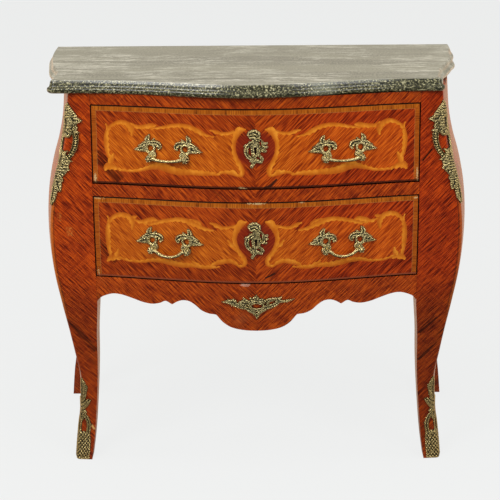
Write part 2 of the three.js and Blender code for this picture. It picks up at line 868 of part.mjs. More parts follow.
function handlePlate(drawer, away) {
  const frame = handleFrame(drawer);
  const size = ([u, v]) => [u * leafLength, v * leafHeight];
  const flat = extrude(
    outline(leafShares.map(size), [leafHoleShares.map(size)]),
    plateThickness + plateSink,
  );
  const leaf = warped(flat, (u, v, d) => {
    const side = away * (frame.half + u);
    return inHandle(frame, side, v, surfaceOut(frame, side, v) + d - plateSink);
  });
  const leafSolid = toSolid(away > 0 ? leaf : flipped(leaf));
  const sheet = leafSolid.subtract(toSolid(drawerFrontBlank(drawer, fit)));
  const postEnd = nutSeat(drawer, frame, away) - fit - nutThickness - postTail;
  const foot = plateThickness / 2;
  const pommel = [
    [0, postEnd], [postRadius, postEnd], [postRadius, foot], [pommelNeck, foot],
    ...pommelShares.map(([r, d]) => [pommelRadius * r, pommelReach * d]),
    [0, pommelReach],
  ];
  const turning = pommel.map(([r, d]) => new THREE.Vector2(r, d));
  const knob = new THREE.LatheGeometry(turning, roundSides);
  const turned = warped(knob, (x, y, z) => inHandle(frame, away * frame.half + x, z, y));
  const pin = pinCutter(frame, away);
  return toGeometry(sheet.add(toSolid(flipped(turned))).subtract(pin));
}

// Cylinder along a handle's chord, from one place to another
function chordRod(frame, from, to, radius) {
  const rod = new THREE.CylinderGeometry(radius, radius, to - from, roundSides)
    .translate(0, (from + to) / 2, 0);
  return toSolid(warped(rod, (x, y, z) => inHandle(frame, y, x, bailReach - z)));
}

function pinCutter(frame, away) {
  const inner = away * (frame.half - pommelRadius - overrun);
  const end = away * (frame.half + bailPinEnd);
  const radius = bailPinRadius + bailPinGap;
  return chordRod(frame, Math.min(inner, end), Math.max(inner, end), radius);
}

// Right half of a bail from its lowest point to its pin, as shares of its half and drop
const bailShares = [[0, 1], [0.36, 0.88], [0.66, 0.5], [0.86, 0.08], [1, 0]];

function bail(drawer) {
  const frame = handleFrame(drawer);
  const pinStart = frame.half - pommelRadius;
  const half = bailShares.map(([u, v]) => [pinStart * u, -drawer.bailDrop * v]);
  const bow = [...half.slice(1).reverse().map(([u, v]) => [-u, v]), ...half];
  const curve = new THREE.CatmullRomCurve3(bow.map(([u, v]) => at(u, v, 0)));
  const rod = new THREE.ExtrudeGeometry(outline(ringPoints(bailRadius, roundSides)), {
    steps: 12, extrudePath: curve, bevelEnabled: false,
  });
  const swept = warped(rod, (u, v, d) => inHandle(frame, u, v, bailReach + d));
  const body = toSolid(swept);
  const pinEnd = frame.half - bailPinEnd;
  const pins = [-1, 1].map((away) => {
    const from = away * (pinStart - bailRadius * 2);
    const to = away * pinEnd;
    return chordRod(frame, Math.min(from, to), Math.max(from, to), bailPinRadius);
  });
  return toGeometry(join([body, ...pins]));
}

// Bore for a handle post through the drawer front, with a seat for its nut behind
function handleCuts(drawer) {
  const frame = handleFrame(drawer);
  return [-1, 1].flatMap((away) => {
    const u = away * frame.half;
    const seat = nutSeat(drawer, frame, away);
    const behind = -drawerFrontThickness * 3;
    const bore = outRod(frame, u, behind, overrun * 2, postBoreRadius);
    const pocket = outRod(frame, u, behind, seat, nutSeatRadius);
    return [bore, pocket];
  });
}

// Cylinder straight out of the drawer front at one place of a handle's chord
function outRod(frame, u, from, to, radius) {
  const rod = new THREE.CylinderGeometry(radius, radius, to - from, roundSides)
    .translate(0, (from + to) / 2, 0);
  return toSolid(flipped(warped(rod, (x, y, z) => inHandle(frame, u + x, z, y))));
}

// Where a nut seats: a little inside the front's inner face, measured out from the chord
function nutSeat(drawer, frame, away) {
  const u = away * frame.half;
  let d = -drawerFrontThickness;
  const rounds = 6;
  for (let round = 0; round < rounds; round += 1) {
    const p = inHandle(frame, u, 0, d);
    d += p.y - frontInnerY(drawer, p.x);
  }
  return d + nutSeatDepth;
}

function handleNut(drawer, away) {
  const frame = handleFrame(drawer);
  const seat = nutSeat(drawer, frame, away) - fit;
  const hex = 6;
  const shape = outline(ringPoints(nutRadius, hex), [ringPoints(postBoreRadius, roundSides)]);
  const nut = extrude(shape, nutThickness);
  const u = away * frame.half;
  return warped(nut, (x, y, z) => inHandle(frame, u + x, y, seat - nutThickness + z));
}

// Escutcheon: an uneven cartouche of scrolls with a keyhole, as shares of its size
const cartoucheShares = [
  [0.02, -0.5], [0.1, -0.42], [0.04, -0.36], [0.22, -0.32], [0.3, -0.22], [0.2, -0.16],
  [0.3, -0.04], [0.46, 0.0], [0.36, 0.06], [0.5, 0.14], [0.44, 0.22], [0.3, 0.24],
  [0.2, 0.33], [0.12, 0.38], [0.16, 0.46], [0.0, 0.5], [-0.1, 0.44], [-0.24, 0.46],
  [-0.2, 0.33], [-0.06, 0.3], [-0.14, 0.2], [-0.3, 0.18], [-0.46, 0.14], [-0.5, 0.0],
  [-0.4, -0.14], [-0.24, -0.24], [-0.1, -0.32], [-0.06, -0.4], [-0.14, -0.46],
];

function escutcheon(drawer) {
  const size = ([u, v]) => [u * escutcheonWidth, v * escutcheonHeight];
  const z = keyZ(drawer);
  const shape = outline(cartoucheShares.map(size), [keyholePoints(0)]);
  const plate = warped(extrude(shape, plateThickness + plateSink), (u, v, d) => (
    at(u, frontY(u, z + v) - d + plateSink, z + v)
  ));
  return toGeometry(toSolid(plate).subtract(toSolid(drawerFrontBlank(drawer, fit))));
}

function drawerFront(drawer) {
  const hole = outline(keyholePoints(fit).map(([x, z]) => [x, z + keyZ(drawer)]));
  const keyLength = drawerFrontThickness * 3;
  const key = toSolid(alongFront(hole, keyLength - bellyDepth - frontBow, keyLength * 2));
  return toGeometry(cut(toSolid(drawerFrontBlank(drawer, 0)), [
    ...bothSides(handleCuts(drawer)),
    ...bothSides(tailSockets(drawer, false)),
    toSolid(drawerBottom(drawer, fit)),
    toSolid(lockBlock(drawer, fit)),
    key,
  ]));
}

// Apron mount: two leafy wings round an oval, right half as shares of its size
const wingShares = [
  [0, -0.5], [0.05, -0.42], [0.08, -0.24], [0.16, -0.14], [0.26, -0.06], [0.3, 0.06],
  [0.42, 0.1], [0.5, 0.24], [0.4, 0.2], [0.33, 0.34], [0.22, 0.32], [0.12, 0.2],
  [0.07, 0.34], [0.02, 0.42],
];
const eyeWidthShare = 0.06;
const eyeHeightShare = 0.08;

function apronMount() {
  const right = wingShares.map(([u, v]) => [u * apronMountWidth, v * apronMountHeight]);
  const left = right.slice(1).reverse().map(([u, v]) => [-u, v]);
  const crown = [0, apronMountHeight / 2];
  const eye = ringPoints(1, roundSides).map(([u, v]) => [
    apronMountWidth * eyeWidthShare * u,
    apronMountHeight * eyeHeightShare * v,
  ]);
  const middle = lowerBottom - apronMountDrop;
  const shape = outline([...right, crown, ...left], [eye]);
  const plate = warped(extrude(shape, plateThickness + plateSink), (u, v, d) => (
    at(u, frontY(u, middle + v) - d + plateSink, middle + v)
  ));
  return toGeometry(toSolid(plate).subtract(toSolid(apronBody(fit))));
}

// Mounts wrapped round the arris: height share, reach over the front and over the side
const cornerMountShares = [
  [0, 0.04], [0.06, 0.3], [0.13, 0.38], [0.17, 0.36], [0.18, 0.56], [0.24, 0.58],
  [0.3, 0.44], [0.33, 0.52], [0.37, 0.8], [0.42, 0.7], [0.48, 0.92], [0.55, 0.84],
  [0.63, 0.8], [0.71, 0.8], [0.73, 0.46], [0.78, 0.7], [0.83, 1], [0.88, 0.56],
  [0.95, 0.3], [1, 0.04],
];
const cornerGapShares = [0.5, 0.68]; // the open stretch inside its long C scroll
const wrapNearShare = 0.6; // a narrow band's bend, as a share of its reach
const wrapCornerShare = 0.6; // its stand at the arris, as a share of its thickness
const sabotShares = [
  [0, 0.85], [0.05, 0.94], [0.12, 0.98], [0.3, 0.96], [0.38, 0.88], [0.45, 0.66],
  [0.5, 0.52], [0.56, 0.4], [0.62, 0.48], [0.69, 0.6], [0.72, 0.74], [0.74, 0.48],
  [0.82, 0.5], [0.9, 0.5], [0.96, 0.34], [1, 0.06],
];

function wrapSection(z, reach) {
  const x = arrisX(z);
  const y = frontY(x, z);
  const outside = wrapThickness;
  const corner = outside * wrapCornerShare;
  const onFront = (s, d) => at(x - s, frontY(x - s, z) - d, z);
  const onSide = (s, d) => at(sideX(y + s, z) + d, y + s, z);
  const near = Math.min(arrisRadius, reach * wrapNearShare);
  const inside = -Math.min(plateSink, near / 2);
  return [
    onFront(reach, inside), onFront(near, inside), onSide(near, inside), onSide(reach, inside),
    onSide(reach, outside), onSide(near, outside), at(x + corner, y - corner, z),
    onFront(near, outside), onFront(reach, outside),
  ];
}

function wrappedMount(shares, bottom, top, reach) {
  return toSolid(loft(shares.map(([rise, reachShare]) => (
    wrapSection(bottom + (top - bottom) * rise, reach * reachShare)
  ))));
}

function cornerMount() {
  const top = carcassTop - cornerMountDrop;
  const bottom = top - cornerMountHeight;
  const [low, high] = cornerGapShares.map((share) => bottom + cornerMountHeight * share);
  const x = arrisX((low + high) / 2);
  const y = arrisY((low + high) / 2);
  const gap = toSolid(block(
    at(x - cornerGapHalf, y - overrun * 2, low),
    at(x + overrun * 3, y + cornerGapHalf, high),
  ));
  const band = wrappedMount(cornerMountShares, bottom, top, cornerMountReach);
  return toGeometry(cut(band, [gap, toSolid(frontPost(fit))]));
}

function sabot() {
  const band = wrappedMount(sabotShares, 0, sabotHeight, sabotReach);
  return toGeometry(cut(band, [toSolid(frontPost(fit))]));
}

function buildCarcass() {
  const topRail = toSolid(rail(upperTop, carcassTop));
  const middleRail = toSolid(rail(lowerTop, upperBottom));
  addPiece('marble_top', marbleSlab(), 'marble');
  addPiece('top_panel', topPanel(), 'oak');
  addPiece('top_rail', toGeometry(cut(topRail, [boltMortise(drawers[0])])), 'kingwood');
  addPiece('middle_rail', toGeometry(cut(middleRail, [boltMortise(drawers[1])])), 'kingwood');
  addPiece('apron', apronBody(0), 'kingwood');
  addPair('front_post', frontPost(0), 'kingwood');
  addPair('rear_post', rearPost(), 'kingwood');
  addPair('side_panel', sidePanel(), 'kingwood');
  addPiece('back_panel', backPanel(), 'oak');
  addPiece('bottom_panel', bottomPanel(), 'oak');
  addPiece('dust_panel', dustPanel(), 'oak');
  addPair('upper_runner', runner(upperBottom), 'oak');
  addPair('lower_runner', runner(lowerBottom), 'oak');
  addPair('corner_mount', cornerMount(), 'brass');
  addPair('sabot', sabot(), 'brass');
  addPiece('apron_mount', apronMount(), 'brass');
}

function buildDrawer(drawer) {
  const { name } = drawer;
  addPiece(`${name}_drawer_front`, drawerFront(drawer), 'kingwood');
  addPair(`${name}_drawer_side`, drawerSide(drawer), 'oak');
  addPiece(`${name}_drawer_back`, drawerBack(drawer), 'oak');
  addPiece(`${name}_drawer_bottom`, drawerBottom(drawer, 0), 'oak');
  addPiece(`${name}_lock_case`, lockCase(drawer), 'steel');
  addPiece(`${name}_lock_bolt`, boltBlock(drawer, 0, drawer.top), 'steel');
  addPiece(`${name}_escutcheon`, escutcheon(drawer), 'brass');
  addPair(`${name}_plate_outer`, handlePlate(drawer, 1), 'brass');
  addPair(`${name}_plate_inner`, handlePlate(drawer, -1), 'brass');
  addPair(`${name}_nut_outer`, handleNut(drawer, 1), 'brass');
  addPair(`${name}_nut_inner`, handleNut(drawer, -1), 'brass');
  addPair(`${name}_bail`, bail(drawer), 'brass');
}

buildCarcass();
drawers.forEach(buildDrawer);

export default chest;
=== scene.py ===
import math
import bmesh
import bpy
import numpy as np
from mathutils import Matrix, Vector


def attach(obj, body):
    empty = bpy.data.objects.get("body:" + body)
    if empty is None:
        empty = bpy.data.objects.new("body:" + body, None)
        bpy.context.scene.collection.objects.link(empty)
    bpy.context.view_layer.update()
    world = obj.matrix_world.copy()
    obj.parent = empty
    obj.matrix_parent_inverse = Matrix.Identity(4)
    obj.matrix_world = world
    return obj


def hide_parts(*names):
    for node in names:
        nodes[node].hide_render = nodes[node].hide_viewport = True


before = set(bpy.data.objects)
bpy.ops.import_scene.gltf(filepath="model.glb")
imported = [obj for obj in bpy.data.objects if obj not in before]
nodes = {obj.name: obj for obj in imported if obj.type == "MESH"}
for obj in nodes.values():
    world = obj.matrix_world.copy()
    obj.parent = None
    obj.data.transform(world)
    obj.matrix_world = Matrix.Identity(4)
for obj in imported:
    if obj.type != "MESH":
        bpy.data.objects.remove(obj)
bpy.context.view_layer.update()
print("frame loaded,", len(nodes), "nodes")

# Body surfaces
# Everything below works in millimetres and turns to metres when a mesh is made.
body = {
    "height": 800, "bellyHalf": 404, "bellyDepth": 170, "frontBow": 58, "sideFlare": 40,
    "backPlane": 221, "caseTop": 775, "openingHalf": 318, "gap": 0.3, "footTrim": 4,
    "arris": [
        (0, 0.936, 0.868), (0.058, 0.926, 0.819), (0.13, 0.911, 0.783), (0.215, 0.903, 0.783),
        (0.28, 0.911, 0.819), (0.36, 0.933, 0.88), (0.45, 0.963, 0.945), (0.54, 0.99, 0.988),
        (0.625, 1, 1), (0.7, 0.993, 0.99), (0.765, 0.97, 0.965), (0.83, 0.934, 0.932),
        (0.9, 0.907, 0.9), (1, 0.891, 0.868),
    ],
    "leg": [
        (0, 0.853, 0.49, 0.74), (0.058, 0.838, 0.5, 0.76), (0.13, 0.825, 0.515, 0.76),
        (0.215, 0.812, 0.545, 0.8), (0.28, 0.805, 0.61, 0.88), (0.36, 0.8, 0.69, 0.97),
        (0.43, 0.79, 0.78, 1), (0.45, 0.78713, 0.8, 1),
    ],
}


def through(rows, column):
    rows = np.array(rows, float)
    keys, values = rows[:, 0], rows[:, column]
    slopes = np.empty(len(keys))
    slopes[1:-1] = (values[2:] - values[:-2]) / (keys[2:] - keys[:-2])
    slopes[0] = (values[1] - values[0]) / (keys[1] - keys[0])
    slopes[-1] = (values[-1] - values[-2]) / (keys[-1] - keys[-2])

    def value(place):
        place = np.clip(np.asarray(place, float), keys[0], keys[-1])
        k = np.clip(np.searchsorted(keys, place) - 1, 0, len(keys) - 2)
        span = keys[k + 1] - keys[k]
        t = (place - keys[k]) / span
        rise = values[k + 1] - values[k]
        bendA = slopes[k] * span - rise
        bendB = rise - slopes[k + 1] * span
        return values[k] + rise * t + t * (1 - t) * (bendA * (1 - t) + bendB * t)
    return value


arrisWidth = through(body["arris"], 1)
arrisDepth = through(body["arris"], 2)
legInnerShare = through(body["leg"], 1)
legDepthShare = through(body["leg"], 2)
rearLegShare = through(body["leg"], 3)


def arrisX(z):
    return body["bellyHalf"] * arrisWidth(np.asarray(z) / body["caseTop"])


def arrisY(z):
    return -body["bellyDepth"] * arrisDepth(np.asarray(z) / body["caseTop"])


def postX(z):
    # the front feet are filed a little slimmer at the side, where the cast feet sit
    low = np.clip((240 - np.asarray(z, float)) / 80, 0, 1)
    return arrisX(z) - body["footTrim"] * low * low * (3 - 2 * low)


def bowShare(x):
    return (1 + np.cos(np.pi * np.minimum(np.abs(x) / body["bellyHalf"], 1))) / 2


def frontY(x, z):
    return arrisY(z) - body["frontBow"] * bowShare(x)


def sideX(y, z, edge=arrisX):
    start = frontY(edge(z), z)
    t = np.clip((y - start) / (body["backPlane"] - start), 0, 1)
    return edge(z) + body["sideFlare"] * (1 - (1 - t) ** 2)


# Mesh helpers
def makePiece(name, points, faces, material, bodyName, slotName, replaced=(), values=None, sharp=35):
    mesh = bpy.data.meshes.new(name)
    mesh.from_pydata((np.asarray(points, float) * 0.001).tolist(), [], faces)
    for key, numbers in (values or {}).items():
        mesh.attributes.new(key, "FLOAT", "POINT").data.foreach_set(
            "value", np.asarray(numbers, np.float32))
    piece = bpy.data.objects.new(name, mesh)
    bpy.context.scene.collection.objects.link(piece)
    tidy = bmesh.new()
    tidy.from_mesh(mesh)
    bmesh.ops.recalc_face_normals(tidy, faces=tidy.faces)
    tidy.to_mesh(mesh)
    tidy.free()
    mesh.polygons.foreach_set("use_smooth", [True] * len(mesh.polygons))
    mesh.set_sharp_from_angle(angle=math.radians(sharp))
    normals = np.empty(len(mesh.polygons) * 3)
    mesh.polygons.foreach_get("normal", normals)
    normals = np.abs(normals.reshape(-1, 3))
    mesh.attributes.new("sideways", "FLOAT", "FACE").data.foreach_set(
        "value", (normals[:, 0] > normals[:, 1]).astype(np.float32))
    mesh.materials.append(material)
    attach(piece, bodyName)
    if replaced:
        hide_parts(*replaced)
    return piece


def loftFaces(rows, columns, capped=True):
    faces = []
    for r in range(rows - 1):
        for c in range(columns):
            n = (c + 1) % columns
            a, b = r * columns, (r + 1) * columns
            faces.append((a + c, a + n, b + n, b + c))
    if capped:
        faces.append(tuple(range(columns))[::-1])
        faces.append(tuple(range((rows - 1) * columns, rows * columns)))
    return faces


def loftPiece(name, sections, *rest, **more):
    sections = np.asarray(sections, float)
    rows, columns = sections.shape[:2]
    return makePiece(name, sections.reshape(-1, 3), loftFaces(rows, columns), *rest, **more)


def stack(*columns):
    return np.stack(np.broadcast_arrays(*columns), axis=-1).astype(float)


def smoothPath(points, step):
    points = np.asarray(points, float)
    ends = np.vstack([2 * points[0] - points[1], points, 2 * points[-1] - points[-2]])
    out = []
    for k in range(1, len(ends) - 2):
        p0, p1, p2, p3 = ends[k - 1:k + 3]
        count = max(2, int(np.linalg.norm(p2[:2] - p1[:2]) / step))
        t = np.arange(count)[:, None] / count
        out.append(0.5 * (2 * p1 + (p2 - p0) * t + (2 * p0 - 5 * p1 + 4 * p2 - p3) * t ** 2
                          + (3 * p1 - p0 - 3 * p2 + p3) * t ** 3))
    return np.vstack(out + [points[-1:]])


def strokeField(points, path, step=1.0):
    # distance beyond a stroke's edge, place across it and place along it, for each point
    line = smoothPath(path, step)
    best = np.full(len(points), 1e9)
    across = np.zeros(len(points))
    along = np.zeros(len(points))
    runs = np.concatenate([[0], np.cumsum(np.linalg.norm(np.diff(line[:, :2], axis=0), axis=1))])
    for k in range(len(line) - 1):
        a, b = line[k, :2], line[k + 1, :2]
        ab = b - a
        length = max(float(ab @ ab), 1e-9)
        t = np.clip(((points - a) @ ab) / length, 0, 1)
        gap = points - a - t[:, None] * ab
        distance = np.hypot(gap[:, 0], gap[:, 1])
        half = np.maximum(line[k, 2] + (line[k + 1, 2] - line[k, 2]) * t, 0.05)
        nearer = distance - half < best
        best = np.where(nearer, distance - half, best)
        side = np.sign(ab[0] * gap[:, 1] - ab[1] * gap[:, 0])
        across = np.where(nearer, side * distance / half, across)
        along = np.where(nearer, runs[k] + (runs[k + 1] - runs[k]) * t, along)
    return best, across, along, runs[-1]


arrisBase = 10  # added to the distance from a post's arris, so that other pieces have no string
chipBase = 10  # added to the depth on carcass pieces, so that a piece without chips reads as sound


def chipAndHighlightDepth(x, z, chipsAndHighlights):
    # how deep a place lies in the nearest of a few listed spots: worn or chipped ones, and on the drawer fronts
    # also painted highlights
    depth = np.full(np.shape(x), -9.0)
    for u, v, a, b in chipsAndHighlights:
        depth = np.maximum(depth, (1 - np.hypot((x - u) / a, (z - v) / b)) * min(a, b))
    return depth


# Shader helpers
class Wire:
    # one shader value: arithmetic on it adds Math nodes
    def __init__(self, paint, socket):
        self.paint, self.socket = paint, socket

    def calc(self, operation, *terms):
        return self.paint.node("ShaderNodeMath", {"operation": operation}, dict(enumerate(terms)))

    def __add__(self, other):
        return self.calc("ADD", self, other)

    def __sub__(self, other):
        return self.calc("SUBTRACT", self, other)

    def __rsub__(self, other):
        return self.calc("SUBTRACT", other, self)

    def __mul__(self, other):
        return self.calc("MULTIPLY", self, other)

    def __truediv__(self, other):
        return self.calc("DIVIDE", self, other)

    def __lt__(self, other):
        return self.calc("LESS_THAN", self, other)

    def __gt__(self, other):
        return self.calc("GREATER_THAN", self, other)

    __radd__ = __add__
    __rmul__ = __mul__


class Paint:
    # a material's node tree with its Principled shader
    def __init__(self, name, **constants):
        self.material = bpy.data.materials.new(name)
        self.material.use_nodes = True
        self.tree = self.material.node_tree
        self.shader = self.tree.nodes["Principled BSDF"]
        for key, value in constants.items():
            self.shader.inputs[key.replace("_", " ")].default_value = value

    def node(self, kind, settings=None, sockets=None, output=0):
        made = self.tree.nodes.new(kind)
        for key, value in (settings or {}).items():
            if key == "stops":
                ramp = made.color_ramp
                while len(ramp.elements) < len(value):
                    ramp.elements.new(0.5)
                for element, (place, colour) in zip(ramp.elements, value):
                    element.position = place
                    element.color = (*colour, 1)
            else:
                setattr(made, key, value)
        for key, value in (sockets or {}).items():
            if isinstance(value, Wire):
                self.tree.links.new(value.socket, made.inputs[key])
            else:
                made.inputs[key].default_value = value
        return Wire(self, made.outputs[output])

    def vector(self, x, y, z):
        return self.node("ShaderNodeCombineXYZ", sockets={0: x, 1: y, 2: z})

    def place(self):
        coordinates = self.node("ShaderNodeTexCoord", output="Object")
        return [self.node("ShaderNodeSeparateXYZ", sockets={0: coordinates}, output=i)
                for i in range(3)]

    def noise(self, vector, scale=1.0, detail=2.0, roughness=0.5, distortion=0.0):
        return self.node("ShaderNodeTexNoise", sockets={
            "Vector": vector, "Scale": scale, "Detail": detail, "Roughness": roughness,
            "Distortion": distortion})

    def cells(self, vector, scale, feature="F1", output="Distance"):
        return self.node("ShaderNodeTexVoronoi", {"feature": feature},
                         {"Vector": vector, "Scale": scale}, output)

    def attribute(self, name):
        return self.node("ShaderNodeAttribute", {"attribute_name": name}, output="Fac")

    def ease(self, value, low, high):
        return self.node("ShaderNodeMapRange", {"interpolation_type": "SMOOTHSTEP"},
                         {0: value, 1: low, 2: high})

    def mix(self, factor, a, b, blend="MIX"):
        a, b = [(*c, 1) if isinstance(c, tuple) and len(c) == 3 else c for c in (a, b)]
        return self.node("ShaderNodeMix", {"data_type": "RGBA", "blend_type": blend},
                         {0: factor, 6: a, 7: b}, 2)

    def ramp(self, value, stops):
        return self.node("ShaderNodeValToRGB", {"stops": stops}, {0: value})

    def bump(self, height, distance, strength=1.0):
        return self.node("ShaderNodeBump", sockets={
            "Height": height, "Distance": distance, "Strength": strength})

    def finish(self, **wires):
        for key, wire in wires.items():
            self.tree.links.new(wire.socket, self.shader.inputs[key.replace("_", " ")])
        return self.material


# Finishes
veneerLook = {
    "dark": (0.09, 0.007, 0.001), "middle": (0.27, 0.03, 0.002), "light": (0.47, 0.075, 0.004),
    "streak": (0.03, 0.004, 0.001), "roughness": 0.36, "coat": 0.25, "coatRoughness": 0.1,
    "specular": 0.12, "edge": (0.012, 0.004, 0.002),
}


def kingwoodTone(paint, across, along, seed):
    # straight grain: fine pores, pencil lines and broad bands across the leaf of veneer
    fine = paint.noise(paint.vector(across * 640, along * 34, seed), detail=1, roughness=0.6)
    pencil = paint.noise(paint.vector(across * 520, along * 16, seed + 4), detail=1)
    broad = paint.noise(paint.vector(across * 70, along * 1.6, seed + 9), detail=2)
    cloud = paint.noise(paint.vector(across * 8, along * 5, seed + 13), detail=2)
    tone = fine * 1.3 + pencil * 0.45 + broad * 0.08 + cloud * 0.28 - 0.555
    streaks = paint.ease(broad * 0.6 + pencil * 0.45 + cloud * 0.25, 0.77, 0.86)
    return tone, streaks


def kingwoodColour(paint, tone, streaks, look=veneerLook):
    wood = paint.ramp(tone, [(0.28, look["dark"]), (0.5, look["middle"]), (0.71, look["light"])])
    return paint.mix(streaks * 0.6, wood, look["streak"])


def diagonalPlaces(paint, slant=1.0):
    # across and along the grain: it runs down towards the middle on both halves of the front
    x, y, z = paint.place()
    side = paint.attribute("sideways")
    flat = x.calc("ABSOLUTE", x) * (1 - side) + y * side
    turn = 1 / math.hypot(1, slant)
    return (flat * slant - z) * turn, (flat + z * slant) * turn, x, y, z


def strip(paint, x, z, start, end, half):
    # a soft-edged straight mark on the front between two places
    length = math.hypot(end[0] - start[0], end[1] - start[1])
    c, s = (end[0] - start[0]) / length, (end[1] - start[1]) / length
    u, v = x - start[0], z - start[1]
    along, across = u * c + v * s, v * c - u * s
    reach = along.calc("ABSOLUTE", along - length / 2) - length / 2
    width = across.calc("ABSOLUTE", across) - half
    return (1 - paint.ease(reach, -0.002, 0.002)) * (1 - paint.ease(width, -half * 0.5, half * 0.5))


def lacquered(name):
    paint = Paint(name, Coat_Weight=veneerLook["coat"], Coat_Roughness=veneerLook["coatRoughness"])
    paint.shader.inputs["Specular IOR Level"].default_value = veneerLook["specular"]
    return paint


postMarks = {
    # dark heartwood lines in the legs and a short crack in the right post
    "bands": [((-0.38, 0.3165), (-0.327, 0.2416), 0.0065), ((0.328, 0.217), (0.3815, 0.289), 0.006),
              ((0.327, 0.28), (0.36, 0.315), 0.006)],
    "crack": ((0.3225, 0.64), (0.342, 0.663), 0.0015),
    "splinter": ((-0.3445, 0.0735), (-0.3385, 0.064), 0.0022),
    # two spots where the colour is rubbed off, and the string let in along the arris
    "rubbed": [((-0.386, 0.54), (-0.386, 0.524), 0.004), ((-0.367, 0.512), (-0.365, 0.494), 0.006)],
    "string": {"wide": 4.6, "line": 6.4, "from": (0.3, 0.36), "to": (0.56, 0.6)},
    "legShade": {"left": (0.9, 0.88, 0.88), "right": (0.68, 0.64, 0.62)},
    "shoulderShade": {"left": (1.13, 1.0, 0.75), "right": (0.94, 0.66, 0.6)},
}


def veneerMaterial(name, slant=1.0, tint=0.0, marks=None, pale=None):
    paint = lacquered(name)
    across, along, x, y, z = diagonalPlaces(paint, slant)
    half = (x > 0) * 3.1
    tone, streaks = kingwoodTone(paint, across, along, half + tint)
    cross = paint.noise(paint.vector(along * 260, across * 9, half + 5), detail=1)
    tone = tone + (cross - 0.5) * 0.22
    wear = paint.ease(paint.noise(paint.vector(x, y, z), 6, 4, 0.65), 0.62, 0.8)
    colour = paint.mix(wear * 0.25, kingwoodColour(paint, tone, streaks), (0.42, 0.13, 0.04))
    if marks:
        lines = paint.ease(paint.noise(paint.vector(across * 260, along * 3, 2), detail=1), 0.44, 0.52)
        for start, end, wide in marks["bands"]:
            colour = paint.mix(strip(paint, x, z, start, end, wide) * lines * 0.8, colour, veneerLook["streak"])
        colour = paint.mix(strip(paint, x, z, *marks["crack"]), colour, veneerLook["edge"])
        colour = paint.mix(strip(paint, x, z, *marks["splinter"]), colour, (0.62, 0.33, 0.1))
        for start, end, wide in marks["rubbed"]:
            patch = paint.ease(paint.noise(paint.vector(x, y, z), 280, 3, 0.7), 0.4, 0.66)
            colour = paint.mix(strip(paint, x, z, start, end, wide) * patch * 0.6, colour,
                               (0.52, 0.2, 0.045))
        # how far a place lies inside the arris, in millimetres
        string = marks["string"]
        inside = paint.attribute("arris") - arrisBase
        kept = paint.ease(z, *string["from"]) * (1 - paint.ease(z, *string["to"])) * (inside > -3)
        colour = paint.mix((1 - paint.ease(inside, string["wide"] - 1, string["wide"])) * kept * 0.7,
                           colour, (0.4, 0.13, 0.025))
        line = inside.calc("ABSOLUTE", inside - string["line"])
        colour = paint.mix((1 - paint.ease(line, 0.5, 1.3)) * kept * 0.65, colour, (0.07, 0.03, 0.008))
        shade, lit = [paint.mix(x > 0, marks[part]["left"], marks[part]["right"])
                      for part in ("legShade", "shoulderShade")]
        height = paint.ease(z, 0.3, 0.44)
        colour = paint.mix(1 - height, colour, shade, "MULTIPLY")
        colour = paint.mix(height, colour, lit, "MULTIPLY")
    if pale:
        colour = paint.mix(1.0, colour, pale, "MULTIPLY")
    # the edges of posts, rails and drawer fronts that face a gap are painted nearly black, a painted shadow in
    # the gap
    facing = paint.node("ShaderNodeNewGeometry", output="Normal")
    level = paint.node("ShaderNodeSeparateXYZ", sockets={0: facing}, output=2)
    reach = x.calc("ABSOLUTE", x)
    jamb = paint.attribute("sideways") * (reach < 0.3188) * (z > 0.409)
    shut = (level.calc("ABSOLUTE", level) > 0.7) * (z > 0.41) * (reach < 0.3185)
    colour = paint.mix(jamb.calc("MAXIMUM", jamb, shut) * 0.9, colour, veneerLook["edge"])
    ragged = paint.noise(paint.vector(x, y, z), 300, 2, 0.7) * 5 - 2.6
    chip = paint.ease(paint.attribute("chip") - chipBase + ragged, -0.4, 0.8)
    colour = paint.mix(chip * 0.65, colour, (0.6, 0.36, 0.26))
    rough = paint.noise(paint.vector(x, y, z), 45, 3) * 0.16 + veneerLook["roughness"] - 0.08
    pores = paint.bump(tone, 0.0004, 0.35)
    return paint.finish(Base_Color=colour, Roughness=rough, Normal=pores)


# dark heartwood lines low in the left end of each drawer front
drawerHeart = [((-0.309, 0.66), (-0.262, 0.608)), ((-0.309, 0.487), (-0.272, 0.446))]


